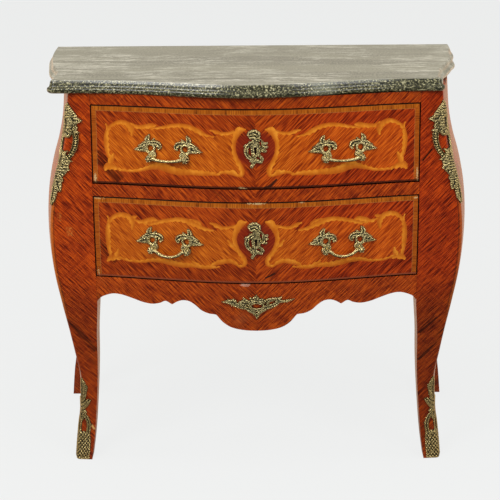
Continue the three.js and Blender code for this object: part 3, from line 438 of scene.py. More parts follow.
def drawerMaterial(name):
    paint = lacquered(name)
    across, along, x, y, z = diagonalPlaces(paint)
    half = (x > 0) * 2.3
    tone, streaks = kingwoodTone(paint, across, along, half + 20)
    ground = kingwoodColour(paint, tone, streaks)
    heart = paint.ease(paint.noise(paint.vector(across * 300, along * 4, 6), detail=1), 0.42, 0.5)
    for start, end in drawerHeart:
        ground = paint.mix(strip(paint, x, z, start, end, 0.011) * heart * 0.75, ground,
                           veneerLook["streak"])
    fieldDepth = paint.attribute("fieldDepth")
    inField = paint.ease(fieldDepth, -0.4, 0.4)
    fieldTone = paint.noise(paint.vector(across * 620, along * 36, half + 31), detail=2) * 0.82
    fieldTone = fieldTone + paint.noise(paint.vector(across * 60, along * 20, 3), detail=3) * 0.18
    fieldWood = paint.ramp(fieldTone, [
        (0.36, (0.2, 0.024, 0.001)), (0.5, (0.42, 0.078, 0.003)), (0.62, (0.6, 0.15, 0.008))])
    colour = paint.mix(inField, ground, fieldWood)
    # painted shade: the right half of each drawer front is multiplied darker in green and blue
    colour = paint.mix(paint.ease(x, 0.0, 0.16), colour, (1.0, 0.77, 0.8), "MULTIPLY")
    medallion = paint.attribute("medallion")
    colour = paint.mix(paint.ease(medallion, 0.0, 0.8) * 0.7, colour, (0.17, 0.011, 0.004))
    inlayDepth = paint.attribute("inlayDepth")
    leafy = paint.noise(paint.vector(x, 0, z), 210, 3, 0.7)
    inInlay = paint.ease(inlayDepth + (leafy - 0.5) * 3.4, -0.4, 0.4)
    inlayTone = paint.noise(paint.vector(x * 90, 0, z * 40), detail=3, roughness=0.6)
    inlayWood = paint.ramp(inlayTone, [
        (0.3, (0.48, 0.122, 0.006)), (0.5, (0.6, 0.18, 0.01)), (0.72, (0.72, 0.26, 0.022))])
    shaded = paint.mix(paint.attribute("inlayShade"), inlayWood, (0.36, 0.062, 0.003))
    colour = paint.mix(inInlay, colour, shaded)
    fromTop, fromSide = paint.attribute("fromTop"), paint.attribute("fromSide")
    edge = fromTop.calc("MINIMUM", fromTop, fromSide)
    inBand = 1 - paint.ease(edge, 9.3, 9.7)
    topWins = fromTop < fromSide
    run = x * topWins + z * (1 - topWins)
    bandTone = paint.noise(paint.vector(run * 520, edge * 0.03, 7), detail=2, roughness=0.65) * 0.65
    bandTone = bandTone + paint.noise(paint.vector(run * 60, 0, 11), detail=2) * 0.35
    bandWood = paint.ramp(bandTone, [
        (0.34, (0.08, 0.014, 0.001)), (0.47, (0.3, 0.066, 0.003)), (0.64, (0.5, 0.145, 0.009))])
    bandWood = paint.mix((1 - topWins) * 0.4, bandWood, (0.27, 0.04, 0.003))
    colour = paint.mix(inBand, colour, bandWood)
    onString = paint.ease(edge, 9.2, 9.6) * (1 - paint.ease(edge, 10.2, 10.6))
    colour = paint.mix(onString * 0.3, colour, (0.5, 0.26, 0.07))
    rim = edge.calc("MINIMUM", edge, paint.attribute("fromBottom"))
    # a dark strip along the foot of the upper drawer, a rosy one along that of the lower
    fromBottom = paint.attribute("fromBottom")
    foot = 1 - paint.ease(fromBottom, 4.0, 5.0)
    footWood = paint.mix(z > 0.59, (0.22, 0.05, 0.02), (0.03, 0.008, 0.004))
    colour = paint.mix(foot * 0.85, colour, footWood)
    # painted shadow: the face darkens nearly black towards its top, sides and foot, along the gap round the
    # drawer
    colour = paint.mix(1 - paint.ease(rim, 0.7, 1.7), colour, veneerLook["edge"])
    # one pale colour for chipped flecks along the edges and for painted highlights on the side bands and the
    # lower drawer's top left corner
    ragged = paint.noise(paint.vector(x, y, z), 560, 2, 0.7) * 9 - 4.8
    chip = paint.ease(paint.attribute("chip") + ragged, 0.0, 0.5)
    colour = paint.mix(chip * 0.8, colour, (0.54, 0.37, 0.17))
    scratch = 1 - paint.ease(paint.attribute("scratch"), 0.3, 1.5)
    colour = paint.mix(scratch * 0.95, colour, (0.03, 0.008, 0.004))
    # the keyhole is painted nearly black on the face: a painted shadow in place of the hole
    keyhole = paint.ease(paint.attribute("keyDepth"), -0.2, 0.2)
    colour = paint.mix(keyhole, colour, (0.004, 0.003, 0.002))
    rough = paint.noise(paint.vector(x, y, z), 45, 3) * 0.16 + 0.24
    relief = tone * (1 - inInlay)
    return paint.finish(Base_Color=colour, Roughness=rough, Normal=paint.bump(relief, 0.0004, 0.3))


def plainWoodMaterial(name, low, high, axis):
    paint = Paint(name, Roughness=0.62)
    x, y, z = paint.place()
    along = {"x": x, "y": y, "z": z}[axis]
    rest = [p for p in (x, y, z) if p is not along]
    grain = paint.noise(paint.vector(rest[0] * 260, rest[1] * 260, along * 7), detail=4, roughness=0.6)
    broad = paint.noise(paint.vector(rest[0] * 30, rest[1] * 30, along * 2.2), detail=2, distortion=0.6)
    tone = grain * 0.5 + broad * 0.5
    colour = paint.ramp(tone, [(0.32, low), (0.66, high)])
    rough = grain * 0.2 + 0.5
    return paint.finish(Base_Color=colour, Roughness=rough, Normal=paint.bump(grain, 0.0006, 0.5))


def brassMaterial(name, tarnish=1.0):
    paint = Paint(name)
    x, y, z = paint.place()
    lift = paint.attribute("lift")
    spot = paint.vector(x, y, z)
    grime = paint.noise(spot, 260, 3, 0.65)
    patina = paint.noise(spot, 70, 3)
    # worn follows lift: raised parts rubbed bright with painted highlight, hollows dark with tarnish and
    # painted shade
    worn = paint.ease(lift + (grime - 0.5) * 1.3, 0.36, 0.8)
    low = paint.mix(patina, (0.012, 0.009, 0.003), (0.042, 0.031, 0.009))
    shades = [tuple(c * k for c, k in zip(shade, (tarnish, tarnish ** 1.2, tarnish ** 1.5)))
              for shade in ((0.66, 0.5, 0.17), (1.0, 0.87, 0.46))]
    high = paint.mix(patina, *shades)
    colour = paint.mix(worn, low, high)
    rough = 0.55 - worn * 0.3 + (grime - 0.5) * 0.15
    chisel = paint.bump(paint.noise(spot, 620, 3, 0.6) + paint.noise(spot, 230, 2) * 0.8, 0.0012, 1.0)
    return paint.finish(Base_Color=colour, Roughness=rough, Metallic=worn * 0.45 + 0.45,
                        Normal=chisel)


marbleLook = {
    "top": [(0.13, 0.123, 0.082), (0.24, 0.227, 0.155)], "vein": (0.74, 0.7, 0.56),
    "edge": [(0.009, 0.009, 0.002), (0.125, 0.116, 0.043)], "fleck": (0.5, 0.46, 0.27),
    "paleAt": 0.13, "greenAt": [0.074, 0.186],
}


def marbleMaterial(name, look=marbleLook):
    paint = Paint(name, Coat_Weight=0.5, Coat_Roughness=0.14)
    x, y, z = paint.place()
    spot = paint.vector(x, y, z)
    drift = paint.noise(spot, 2.6, 4, 0.6)
    # the veins run nearly level from end to end
    drawn = paint.vector(x * 1.6, y * 17 + drift * 1.6, z * 12)
    vein = paint.noise(drawn, 1.5, 6, 0.66)
    veins = 1 - paint.ease(vein.calc("ABSOLUTE", vein - 0.5), 0.0, 0.02)
    hair = paint.noise(paint.vector(x * 3, y * 30 + drift * 3, z * 20), 2.2, 4, 0.6)
    hairs = 1 - paint.ease(hair.calc("ABSOLUTE", hair - 0.52), 0.0, 0.022)
    clouds = paint.noise(drawn, 0.9, 4, 0.6)
    broken = paint.ease(paint.noise(spot, 9, 3, 0.6), 0.38, 0.56)
    speck = paint.noise(spot, 240, 3, 0.7)
    grit = paint.noise(spot, 430, 2, 0.6)
    grain = paint.noise(spot, 360, 2, 0.6)
    speckles = paint.ease(grain * 0.6 + speck * 0.4, 0.545, 0.61)
    top = paint.mix(paint.ease(clouds, 0.35, 0.62), *look["top"])
    top = paint.mix(paint.ease(speck, 0.42, 0.62) * 0.62, top, (0.46, 0.43, 0.31))
    top = paint.mix(paint.ease(grit, 0.52, 0.62) * 0.3, top, (0.1, 0.1, 0.07))
    top = paint.mix(veins.calc("MAXIMUM", veins * 0.9, hairs * 0.75) * broken, top, look["vein"])
    side = paint.mix(paint.ease(grain * 0.5 + speck * 0.5, 0.44, 0.6), *look["edge"])
    away = [x.calc("ABSOLUTE", x - place) for place in [look["paleAt"]] + look["greenAt"]]
    pale = 1 - paint.ease(away[0], 0.01, 0.035)
    green = 1 - paint.ease(away[1].calc("MINIMUM", away[1], away[2]), 0.006, 0.022)
    side = paint.mix(speckles * (0.9 - green * 0.6), side, look["fleck"])
    patch = paint.ease(paint.noise(spot, 5.5, 3, 0.6), 0.6, 0.74)
    side = paint.mix(patch.calc("MAXIMUM", patch * 0.3, pale * 0.3), side, (0.27, 0.28, 0.2))
    # the top is painted paler than the moulded edge: partly dust and polish on the stone, partly painted light
    # on the upward face
    colour = paint.mix(paint.attribute("topFace"), side, top)
    rough = 0.32 + speck * 0.12
    return paint.finish(Base_Color=colour, Roughness=rough, Normal=paint.bump(speck, 0.0002, 0.3))


def frontCoreMaterial(name):
    # plain wood inside the drawer, painted nearly black where an edge faces the gap around it, a painted shadow
    paint = Paint(name, Roughness=0.62)
    x, y, z = paint.place()
    facing = paint.node("ShaderNodeNewGeometry", output="Normal")
    level = paint.node("ShaderNodeSeparateXYZ", sockets={0: facing}, output=2)
    grain = paint.noise(paint.vector(x * 7, y * 260, z * 260), detail=4, roughness=0.6)
    colour = paint.ramp(grain, [(0.34, (0.13, 0.062, 0.026)), (0.66, (0.3, 0.17, 0.08))])
    colour = paint.mix((level.calc("ABSOLUTE", level) > 0.7) * 0.85, colour, veneerLook["edge"])
    return paint.finish(Base_Color=colour, Roughness=grain * 0.2 + 0.5,
                        Normal=paint.bump(grain, 0.0006, 0.5))


def steelMaterial(name):
    paint = Paint(name, Metallic=1.0)
    x, y, z = paint.place()
    spot = paint.vector(x, y, z)
    stain = paint.noise(spot, 90, 4, 0.65)
    brushed = paint.noise(paint.vector(x * 40, y * 900, z * 900), detail=2)
    colour = paint.mix(paint.ease(stain, 0.4, 0.65), (0.36, 0.34, 0.31), (0.16, 0.11, 0.07))
    return paint.finish(Base_Color=colour, Roughness=stain * 0.3 + 0.3,
                        Normal=paint.bump(brushed, 0.0003, 0.4))


kingwood = veneerMaterial("kingwoodVeneer")
kingwoodLeg = veneerMaterial("kingwoodLeg", tint=6.0, marks=postMarks)
kingwoodApron = veneerMaterial("kingwoodApron", pale=(1.11, 1.17, 1.16))
drawerVeneer = drawerMaterial("inlaidDrawerVeneer")
frontCore = frontCoreMaterial("beechWithGapShadow")
oakAlongX = plainWoodMaterial("oakAcross", (0.2, 0.11, 0.05), (0.42, 0.27, 0.14), "x")
oakAlongY = plainWoodMaterial("oakLengthwise", (0.21, 0.12, 0.055), (0.44, 0.28, 0.15), "y")
pineBack = plainWoodMaterial("pineBack", (0.26, 0.15, 0.07), (0.5, 0.33, 0.18), "z")
brass = brassMaterial("agedBrass")
cornerBrass = brassMaterial("rubbedBrass", 0.88)
footBrass = brassMaterial("tarnishedBrass", 0.72)
stone = marbleMaterial("veinedMarble")
steel = steelMaterial("wornSteel")
print("finishes made")

# Marble slab
slab = {
    "shift": -11, "frontHalf": 380, "backHalf": 421, "cornerDepth": 161, "bow": 58,
    "earRadius": 13, "notch": 5, "edgeInset": 9, "depth": 462, "bottom": 775.3,
    "edge": [(0, 0.4), (0.1, 0.08), (0.24, 0), (0.4, 0.12), (0.5, 0.5), (0.8, 0.75), (1, 1)],
    # the hand-cut ends wander: how far each lies to the right of the even plan, by place
    "leftWander": [(-170, -8), (-120, -9), (-90, 0), (-60, 4), (0, -1), (65, -2), (135, -4),
                   (231, -3)],
    "rightWander": [(-180, -5), (-110, -6), (-57, -10), (-26, -6), (5, -2), (37, 2), (70, 8),
                    (104, 6), (139, 6), (174, 11), (231, 11)],
}


def slabPlan():
    s = slab
    x = np.linspace(0, s["frontHalf"] - s["earRadius"], 60)
    share = (1 + np.cos(np.pi * x / s["frontHalf"])) / 2
    front = np.stack([x, -s["cornerDepth"] - s["bow"] * share ** 1.5], 1)
    earY = s["earRadius"] - s["cornerDepth"]
    turn = np.linspace(0, math.pi / 2, 9)[1:]
    ear = np.stack([s["frontHalf"] - s["earRadius"] * (1 - np.sin(turn)),
                    earY - s["earRadius"] * np.cos(turn)], 1)
    start = earY + s["earRadius"]
    back = s["depth"] / 2
    t = np.linspace(0, 1, 50)[:-1]
    inset = s["frontHalf"] - s["notch"]
    side = np.stack([inset + (s["backHalf"] - inset) * (1 - (1 - t) ** 2),
                     start + (back - s["earRadius"] - start) * t], 1)
    corner = np.array([[s["backHalf"], back - s["earRadius"] / 2],
                       [s["backHalf"] - s["earRadius"] / 2, back]])
    half = np.vstack([front, ear, side, corner])
    plan = np.vstack([half, half[1:][::-1] * (-1, 1)])
    x, y = plan.T.copy()
    wander = np.where(x > 0, through(s["rightWander"], 1)(y), through(s["leftWander"], 1)(y))
    ends = np.clip((np.abs(x) - 220) / 130, 0, 1)
    plan[:, 0] += wander * ends * ends * (3 - 2 * ends)
    return plan


def makeSlab():
    s = slab
    plan = slabPlan()
    come = plan - np.roll(plan, 1, 0)
    go = np.roll(plan, -1, 0) - plan
    come /= np.linalg.norm(come, axis=1)[:, None]
    go /= np.linalg.norm(go, axis=1)[:, None]
    normal = np.stack([come[:, 1] + go[:, 1], -come[:, 0] - go[:, 0]], 1)
    normal /= np.linalg.norm(normal, axis=1)[:, None]
    inset = through(s["edge"], 1)
    rises = np.unique(np.concatenate([np.linspace(0, 1, 15), [p for p, _ in s["edge"]]]))
    rises = [(0, 1.2)] + [(r, float(np.clip(inset(r), 0, 1))) for r in rises] + [(1, 1.25)]
    rings = [stack(s["shift"] + plan[:, 0] - normal[:, 0] * s["edgeInset"] * share,
                   plan[:, 1] - normal[:, 1] * s["edgeInset"] * share,
                   s["bottom"] + (body["height"] - s["bottom"]) * rise) for rise, share in rises]
    # the ends take most of the top's paler colouring; only the front keeps the dark edge colouring
    onTop = np.tile(0.8 * np.clip((np.abs(plan[:, 0]) - 355) / 12, 0, 1)
                    * np.clip((plan[:, 1] + 150) / 12, 0, 1), (len(rings), 1))
    onTop[-2:] = 1
    loftPiece("marbleSlab", rings, stone, "carcass", "marble", ("marble_top",),
              values={"topFace": onTop.ravel()}, sharp=50)


makeSlab()
print("slab made")

# Carcass
post = {"depth": 70, "back": -100, "arrisRadius": 5, "levels": 150}
rear = {"width": 46, "depth": 38, "levels": 90, "splay": 8}
sides = {"thickness": 16, "start": -99.7, "end": 182.7, "skirt": [
    (0, 0.56), (0.04, 0.45), (0.12, 0.36), (0.22, 0.36), (0.32, 0.44), (0.4, 0.56), (0.5, 0.62),
    (0.6, 0.56), (0.68, 0.44), (0.78, 0.36), (0.88, 0.36), (0.96, 0.45), (1, 0.56)]}
apron = {"top": 410.5, "drop": 102, "thickness": 20, "half": 317.7, "edge": [
    [(0, 1), (0.08, 0.985), (0.155, 0.93), (0.205, 0.83), (0.238, 0.71), (0.25, 0.665),
     (0.295, 0.645), (0.34, 0.585), (0.38, 0.475), (0.415, 0.405), (0.455, 0.39), (0.49, 0.425),
     (0.525, 0.495)],
    [(0.525, 0.495), (0.565, 0.43), (0.6, 0.48), (0.65, 0.512), (0.71, 0.487), (0.775, 0.42),
     (0.84, 0.36), (0.895, 0.345), (0.945, 0.39), (0.98, 0.45), (1, 0.53)]]}


def mirrorPoints(points):
    return np.asarray(points) * (-1, 1, 1)


def postSection(z):
    x, r = float(postX(z)), post["arrisRadius"]
    y = float(frontY(x, z))
    share = z / body["caseTop"]
    inLeg = share < body["leg"][-1][0]
    inner = body["bellyHalf"] * float(legInnerShare(share)) if inLeg else body["openingHalf"]
    back = min(y + post["depth"] * float(legDepthShare(share)), post["back"]) if inLeg else post["back"]
    front = np.linspace(inner, x - r, 14)
    before = np.array([x - r, frontY(x - r, z)])
    after = np.array([sideX(y + r, z, postX), y + r])
    t = np.linspace(0, 1, 8)[1:-1, None]
    rounded = before * (1 - t) ** 2 + 2 * t * (1 - t) * np.array([x, y]) + after * t ** 2
    sideY = np.linspace(y + r, back, 12)
    flank = np.stack([sideX(sideY, z, postX), sideY], 1)
    face = np.stack([front, frontY(front, z)], 1)
    inside = np.stack([np.full(5, inner), np.linspace(back, face[0, 1], 6)[:-1]], 1)
    plan = np.vstack([face, rounded, flank, inside])
    return stack(plan[:, 0], plan[:, 1], z)


def makeCarcass():
    sections = np.array([postSection(z) for z in np.linspace(0, body["caseTop"], post["levels"])])
    # the sections' first points lie on the front, the others round the arris and behind it
    arris = postX(sections[..., 2]) - sections[..., 0] + arrisBase
    arris[:, 20:] = 0
    for side, points in (("right", sections), ("left", mirrorPoints(sections))):
        loftPiece(f"frontPost_{side}", points, kingwoodLeg, "carcass", "veneer",
                  (f"front_post_{side}",), {"arris": arris.ravel()})
    rows = []
    for z in np.linspace(0, body["caseTop"], rear["levels"]):
        share = float(rearLegShare(z / body["caseTop"]))
        y = np.linspace(body["backPlane"] - rear["depth"] * share, body["backPlane"], 8)
        outer = sideX(y, z)
        inner = outer[-1] - rear["width"] * share
        plan = np.vstack([[[inner, body["backPlane"]], [inner, y[0]]], np.stack([outer, y], 1)])
        rows.append(stack(plan[:, 0], plan[:, 1], z))
    splayed = mirrorPoints(rows)
    splayed[..., 0] -= rear["splay"] * np.clip((230 - splayed[..., 2]) / 160, 0, 1)
    for side, points in (("right", np.array(rows)), ("left", splayed)):
        loftPiece(f"rearPost_{side}", points, kingwoodLeg, "carcass", "veneer",
                  (f"rear_post_{side}",))
    skirt = through(sides["skirt"], 1)
    rows = []
    for share in np.linspace(0, 1, 80):
        y = sides["start"] + (sides["end"] - sides["start"]) * share
        z = np.linspace(apron["top"] - apron["drop"] * float(skirt(share)), body["caseTop"], 60)
        outside = stack(sideX(y, z), y, z)
        inside = outside[::-1] - (sides["thickness"], 0, 0)
        rows.append(np.vstack([outside, inside]))
    for side, points in (("right", np.array(rows)), ("left", mirrorPoints(rows))):
        loftPiece(f"sidePanel_{side}", points, kingwood, "carcass", "veneer",
                  (f"side_panel_{side}",))


def apronBottom(x):
    place = np.abs(x) / apron["half"]
    inner, outer = [through(rows, 1) for rows in apron["edge"]]
    drop = np.where(place < apron["edge"][1][0][0], inner(place), outer(place))
    return apron["top"] - apron["drop"] * drop


def makeApron():
    rows = []
    for x in np.linspace(-apron["half"], apron["half"], 300):
        z = np.linspace(float(apronBottom(x)), apron["top"], 24)
        face = stack(x, frontY(x, z), z)
        inner = frontY(x, apron["top"]) + apron["thickness"]
        rows.append(np.vstack([face, [[x, inner, apron["top"]], [x, inner, z[0]]]]))
    points = np.array(rows).reshape(-1, 3)
    worn = chipAndHighlightDepth(points[:, 0], points[:, 2], [(-21, 408.4, 12, 3), (6, 409, 5, 1)])
    loftPiece("scallopedApron", rows, kingwoodApron, "carcass", "veneer", ("apron",),
              values={"chip": worn + chipBase})


railLift = 0.4


def makeRailSkins():
    # the rails keep their solid frames, with a leaf of veneer over the bowed face
    for name, low, high in (("topRail", 753.5, 775), ("middleRail", 575.5, 599.5)):
        rows = []
        for x in np.linspace(-apron["half"], apron["half"], 160):
            z = np.linspace(low + 0.1, high - 0.1, 8)
            face = stack(x, frontY(x, z) - railLift, z)
            rows.append(np.vstack([face, face[::-1] + (0, 1.1, 0)]))
        loftPiece(f"{name}Veneer", rows, kingwood, "carcass", "veneer")


makeCarcass()
makeApron()
makeRailSkins()
for name in ("top_rail", "middle_rail"):
    nodes[name].data.materials.clear()
    nodes[name].data.materials.append(kingwood)
for name, finish in {
    "top_panel": oakAlongX, "back_panel": pineBack, "bottom_panel": oakAlongX,
    "dust_panel": oakAlongX, "upper_runner_right": oakAlongY, "upper_runner_left": oakAlongY,
    "lower_runner_right": oakAlongY, "lower_runner_left": oakAlongY,
}.items():
    nodes[name].data.materials.clear()
    nodes[name].data.materials.append(finish)
print("carcass made")

# Drawers
drawers = {
    "upper": {
        "low": 601, "high": 752, "half": 316.5, "keyZ": 678, "handleZ": 655, "bailDrop": 3.6,
        # the first two spots are chipped flecks along the foot; the last two are painted highlights low on the
        # left and right side bands
        "chipsAndHighlights": [(-27, 602.5, 5, 2.5), (-20, 602, 3, 1.6), (-311.5, 612, 2.6, 11), (313, 616, 1.8, 15)],
        "scratch": [(17.5, 603.4, 1.1), (27.4, 606.6, 1.5), (34.1, 613.2, 1.3), (39.8, 618.4, 0.9)],
        "inlay": [
            [(279, -31, 2.1), (284, -21, 2.9), (287, -8, 3.7), (288, 10, 4.2), (286, 25, 2.9),
             (279, 36, 2.5), (267, 43, 2.9), (256, 45, 3.7), (245, 41, 4.6), (238, 33, 5.4),
             (237, 21, 1.7)],
            [(287, 40, 0.4), (285, 33, 2.1), (284, 27, 1.7)],
            [(237, 43, 0.8), (226, 37, 2.9), (211, 38, 3.7), (197, 41, 3.7), (189, 41, 0.4)],
            [(198, 35, 0.8), (178, 38, 2.1), (159, 42, 2.9), (139, 43, 3.3), (120, 39, 3.7),
             (105, 31, 3.7), (92, 26, 1.7), (80, 24, 0.6)],
            [(126, 42, 0.4), (115, 38, 2.5), (103, 32, 2.5)],
            [(85, 36, 0.6), (75, 33, 2.9), (64, 30, 2.5), (50, 31, 2.1), (41, 34, 2.1)],
            [(20, 37, 1.2), (30, 36, 5.8), (37, 25, 4.6), (41, 12, 3.3), (41, -3, 3.3),
             (37, -17, 3.7), (30, -30, 3.7), (25, -41, 3.7), (27, -49, 2.9), (34, -50, 1.7)],
            [(34, -50, 1.7), (42, -45, 4.6), (51, -44, 3.3), (61, -44, 2.1), (72, -47, 1.7)],
            [(70, -49, 1.2), (87, -47, 3.3), (104, -47, 4.2), (123, -46, 4.6), (143, -46, 5.4),
             (162, -43, 6.7), (180, -37, 7.1), (195, -38, 5), (212, -43, 2.9), (230, -48, 2.1),
             (248, -49, 1.7), (263, -47, 1.7), (275, -42, 1.7)],
            [(291, -46, 3), (285, -41, 6.4), (277, -42, 5), (268, -45, 3), (262, -48, 1)],
            [(274, -19, 1.6), (278, -26, 4.6), (281, -34, 5)],
        ],
        "field": [
            (287, 0), (287, 25), (279, 38), (262, 45), (245, 41), (235, 34), (225, 36), (200, 38),
            (178, 38), (150, 43), (130, 42), (115, 36), (100, 29), (80, 25), (60, 30), (41, 33),
            (39, 20), (41, 5), (40, -8), (34, -22), (28, -35), (26, -46), (45, -45), (65, -45),
            (87, -47), (123, -46), (150, -46), (180, -40), (212, -43), (240, -49), (263, -47),
            (278, -40), (284, -21)],
    },
    "lower": {
        "low": 412, "high": 574, "half": 316.5, "keyZ": 500, "handleZ": 475, "bailDrop": 11,
        # the first three spots are chipped flecks along the top; the next two are painted highlights, low on
        # the left band and along the top left corner; the last is a pale mark at the top right corner
        "chipsAndHighlights": [(4, 572.6, 14, 2.2), (-11, 572.8, 6, 1.8), (88, 573, 5, 1.6), (-311.5, 420, 1.6, 6),
                  (-305, 571.5, 9, 1.4), (311, 569, 4, 2.4)],
        "scratch": [(17.9, 423.7, 0.5), (26.7, 427.3, 0.9), (35.4, 432.3, 0.8)],
        "inlay": [
            [(285, -40, 2.1), (289, -21, 3.3), (290, -3, 4.2), (290, 13, 4.2), (288, 29, 2.9),
             (281, 40, 2.9), (270, 47, 3.7), (258, 48, 4.2), (247, 44, 4.6), (240, 34, 5),
             (241, 20, 1.2)],
            [(289, 44, 0.4), (287, 37, 2.1), (286, 29, 2.1)],
            [(246, 42, 2.1), (237, 45, 2.5), (230, 46, 0.6)],
            [(237, 40, 1.2), (224, 36, 2.5), (210, 39, 4.6), (199, 43, 3.3), (189, 40, 0.4)],
            [(215, 33, 0.8), (200, 34, 2.5), (184, 39, 2.9), (166, 43, 3.3), (149, 45, 3.7),
             (134, 43, 4.2), (123, 39, 5), (112, 35, 4.2), (99, 29, 2.9), (82, 26, 1.2)],
            [(127, 46, 0.4), (117, 44, 2.1), (108, 39, 2.9)],
            [(87, 41, 0.6), (78, 37, 3.3), (66, 32, 2.9), (52, 33, 2.1), (41, 36, 2.1)],
            [(19, 43, 0.8), (28, 41, 5.8), (36, 30, 5.4), (41, 14, 3.7), (40, 1, 3.7),
             (34, -14, 3.7), (25, -26, 3.7), (21, -35, 3.3), (23, -43, 2.9), (32, -46, 1.7)],
            [(53, 7, 0.6), (48, 0, 2.9), (40, -8, 2.1)],
            [(32, -46, 1.7), (41, -39, 2.9), (53, -35, 3.7), (66, -37, 4.2), (77, -40, 3.7),
             (85, -45, 2.5)],
            [(72, -48, 0.8), (90, -49, 2.9), (107, -49, 3.3), (118, -44, 3.7), (124, -39, 0.8)],
            [(103, -49, 1.7), (125, -47, 3.7), (147, -47, 4.6), (166, -44, 5), (184, -41, 4.2),
             (204, -41, 3.3), (222, -45, 2.1), (240, -46, 1.7), (255, -44, 1.7), (268, -40, 1.7),
             (280, -37, 1.7)],
            [(291, -45, 2.6), (284, -41, 5.6), (276, -40, 3.6), (268, -43, 1.4)],
            [(270, -24, 1.6), (272, -31, 4.2), (275, -38, 4)],
        ],
        "field": [
            (290, 0), (289, 25), (282, 40), (262, 48), (247, 44), (238, 38), (224, 36), (200, 36),
            (184, 39), (150, 45), (130, 42), (112, 35), (95, 28), (80, 26), (60, 31), (41, 35),
            (39, 20), (41, 5), (38, -6), (30, -20), (22, -32), (24, -42), (45, -37), (66, -37),
            (85, -46), (105, -49), (147, -47), (184, -41), (222, -45), (255, -44), (280, -38),
            (288, -21)],
    },
}
frontEase = 1.2
frontThickness = 22
leafLift = 0.5
seatX = 299
keyhole = {"radius": 2.4, "slot": 1.3, "drop": 9}


def insideDepth(points, outline):
    # signed distance to a closed smooth outline, positive inside
    line = smoothPath(np.vstack([outline, outline[:1]]), 3)
    best = np.full(len(points), 1e9)
    inside = np.zeros(len(points), bool)
    for a, b in zip(line[:-1], line[1:]):
        ab = b - a
        t = np.clip(((points - a) @ ab) / max(float(ab @ ab), 1e-9), 0, 1)
        gap = points - a - t[:, None] * ab
        best = np.minimum(best, np.hypot(gap[:, 0], gap[:, 1]))
        if a[1] != b[1]:
            spans = (a[1] > points[:, 1]) != (b[1] > points[:, 1])
            at = a[0] + (points[:, 1] - a[1]) * ab[0] / (b[1] - a[1])
            inside ^= spans & (points[:, 0] < at)
    return np.where(inside, best, -best)


def drawerValues(drawer, x, z):
    middle = (drawer["low"] + drawer["high"]) / 2
    points = np.stack([np.abs(x), z - middle], 1)
    inlay = np.full(len(points), -1e3)
    shade = np.zeros(len(points))
    for path in drawer["inlay"]:
        depth, across, along, length = strokeField(points, path, 3)
        # one edge of each engraved leaf is cut in small lobes
        depth = depth - 0.7 - 0.9 * np.cos(2 * np.pi * along / 11) * (across > 0.3)
        shade = np.where(-depth > inlay, np.clip(0.25 - 0.55 * across, 0, 0.75), shade)
        inlay = np.maximum(inlay, -depth)
    field = insideDepth(points, np.array(drawer["field"], float))
    round_ = np.hypot(points[:, 0] / 46, (z - drawer["keyZ"]) / 37)
    medallion = np.clip((1.0 - round_) * 3.2, 0, 1) * (field < 0) * (inlay < 0)
    scratch = strokeField(np.stack([x, z], 1), drawer["scratch"], 3)[0]
    u, v = np.abs(x), z - drawer["keyZ"]
    hole = np.maximum(keyhole["radius"] - np.hypot(u, v),
                      np.minimum(keyhole["slot"] - u, np.minimum(-v, v + keyhole["drop"])))
    return {
        "inlayDepth": inlay, "inlayShade": shade, "fieldDepth": field, "medallion": medallion,
        "keyDepth": hole, "fromTop": drawer["high"] - z, "fromSide": drawer["half"] - np.abs(x),
        "fromBottom": z - drawer["low"], "chip": chipAndHighlightDepth(x, z, drawer["chipsAndHighlights"]),
        "scratch": scratch,
    }


def makeDrawerFaces():
    # a thin veneered face over each drawer front's solid wood
    for name, drawer in drawers.items():
        rows = []
        ease = frontEase
        low, high = drawer["low"] + 0.05, drawer["high"] - 0.05
        for x in np.linspace(-drawer["half"] + 0.05, drawer["half"] - 0.05, 440):
            z = np.linspace(low + ease, high - ease, 104)
            face = stack(x, frontY(x, z) - leafLift, z)
            under = [x, frontY(x, low) + ease - leafLift, low]
            over = [x, frontY(x, high) + ease - leafLift, high]
            deep = np.linspace(high, low, 4)
            back = stack(x, frontY(x, deep) + ease + 0.8, deep)
            rows.append(np.vstack([[under], face, [over], back]))
        rows = np.array(rows)
        points = rows.reshape(-1, 3)
        loftPiece(f"{name}DrawerVeneer", rows, drawerVeneer, f"{name}_drawer", "veneer",
                  values=drawerValues(drawer, points[:, 0], points[:, 2]))
        for part, finish in (("front", frontCore), ("side_right", oakAlongY), ("side_left", oakAlongY),
                             ("back", oakAlongX), ("bottom", oakAlongX)):
            node = nodes[f"{name}_drawer_{part}"]
            node.data.materials.clear()
            node.data.materials.append(finish)
        for part in ("lock_case", "lock_bolt"):
            nodes[f"{name}_{part}"].data.materials.clear()
            nodes[f"{name}_{part}"].data.materials.append(steel)
        print(name, "drawer made")


makeDrawerFaces()


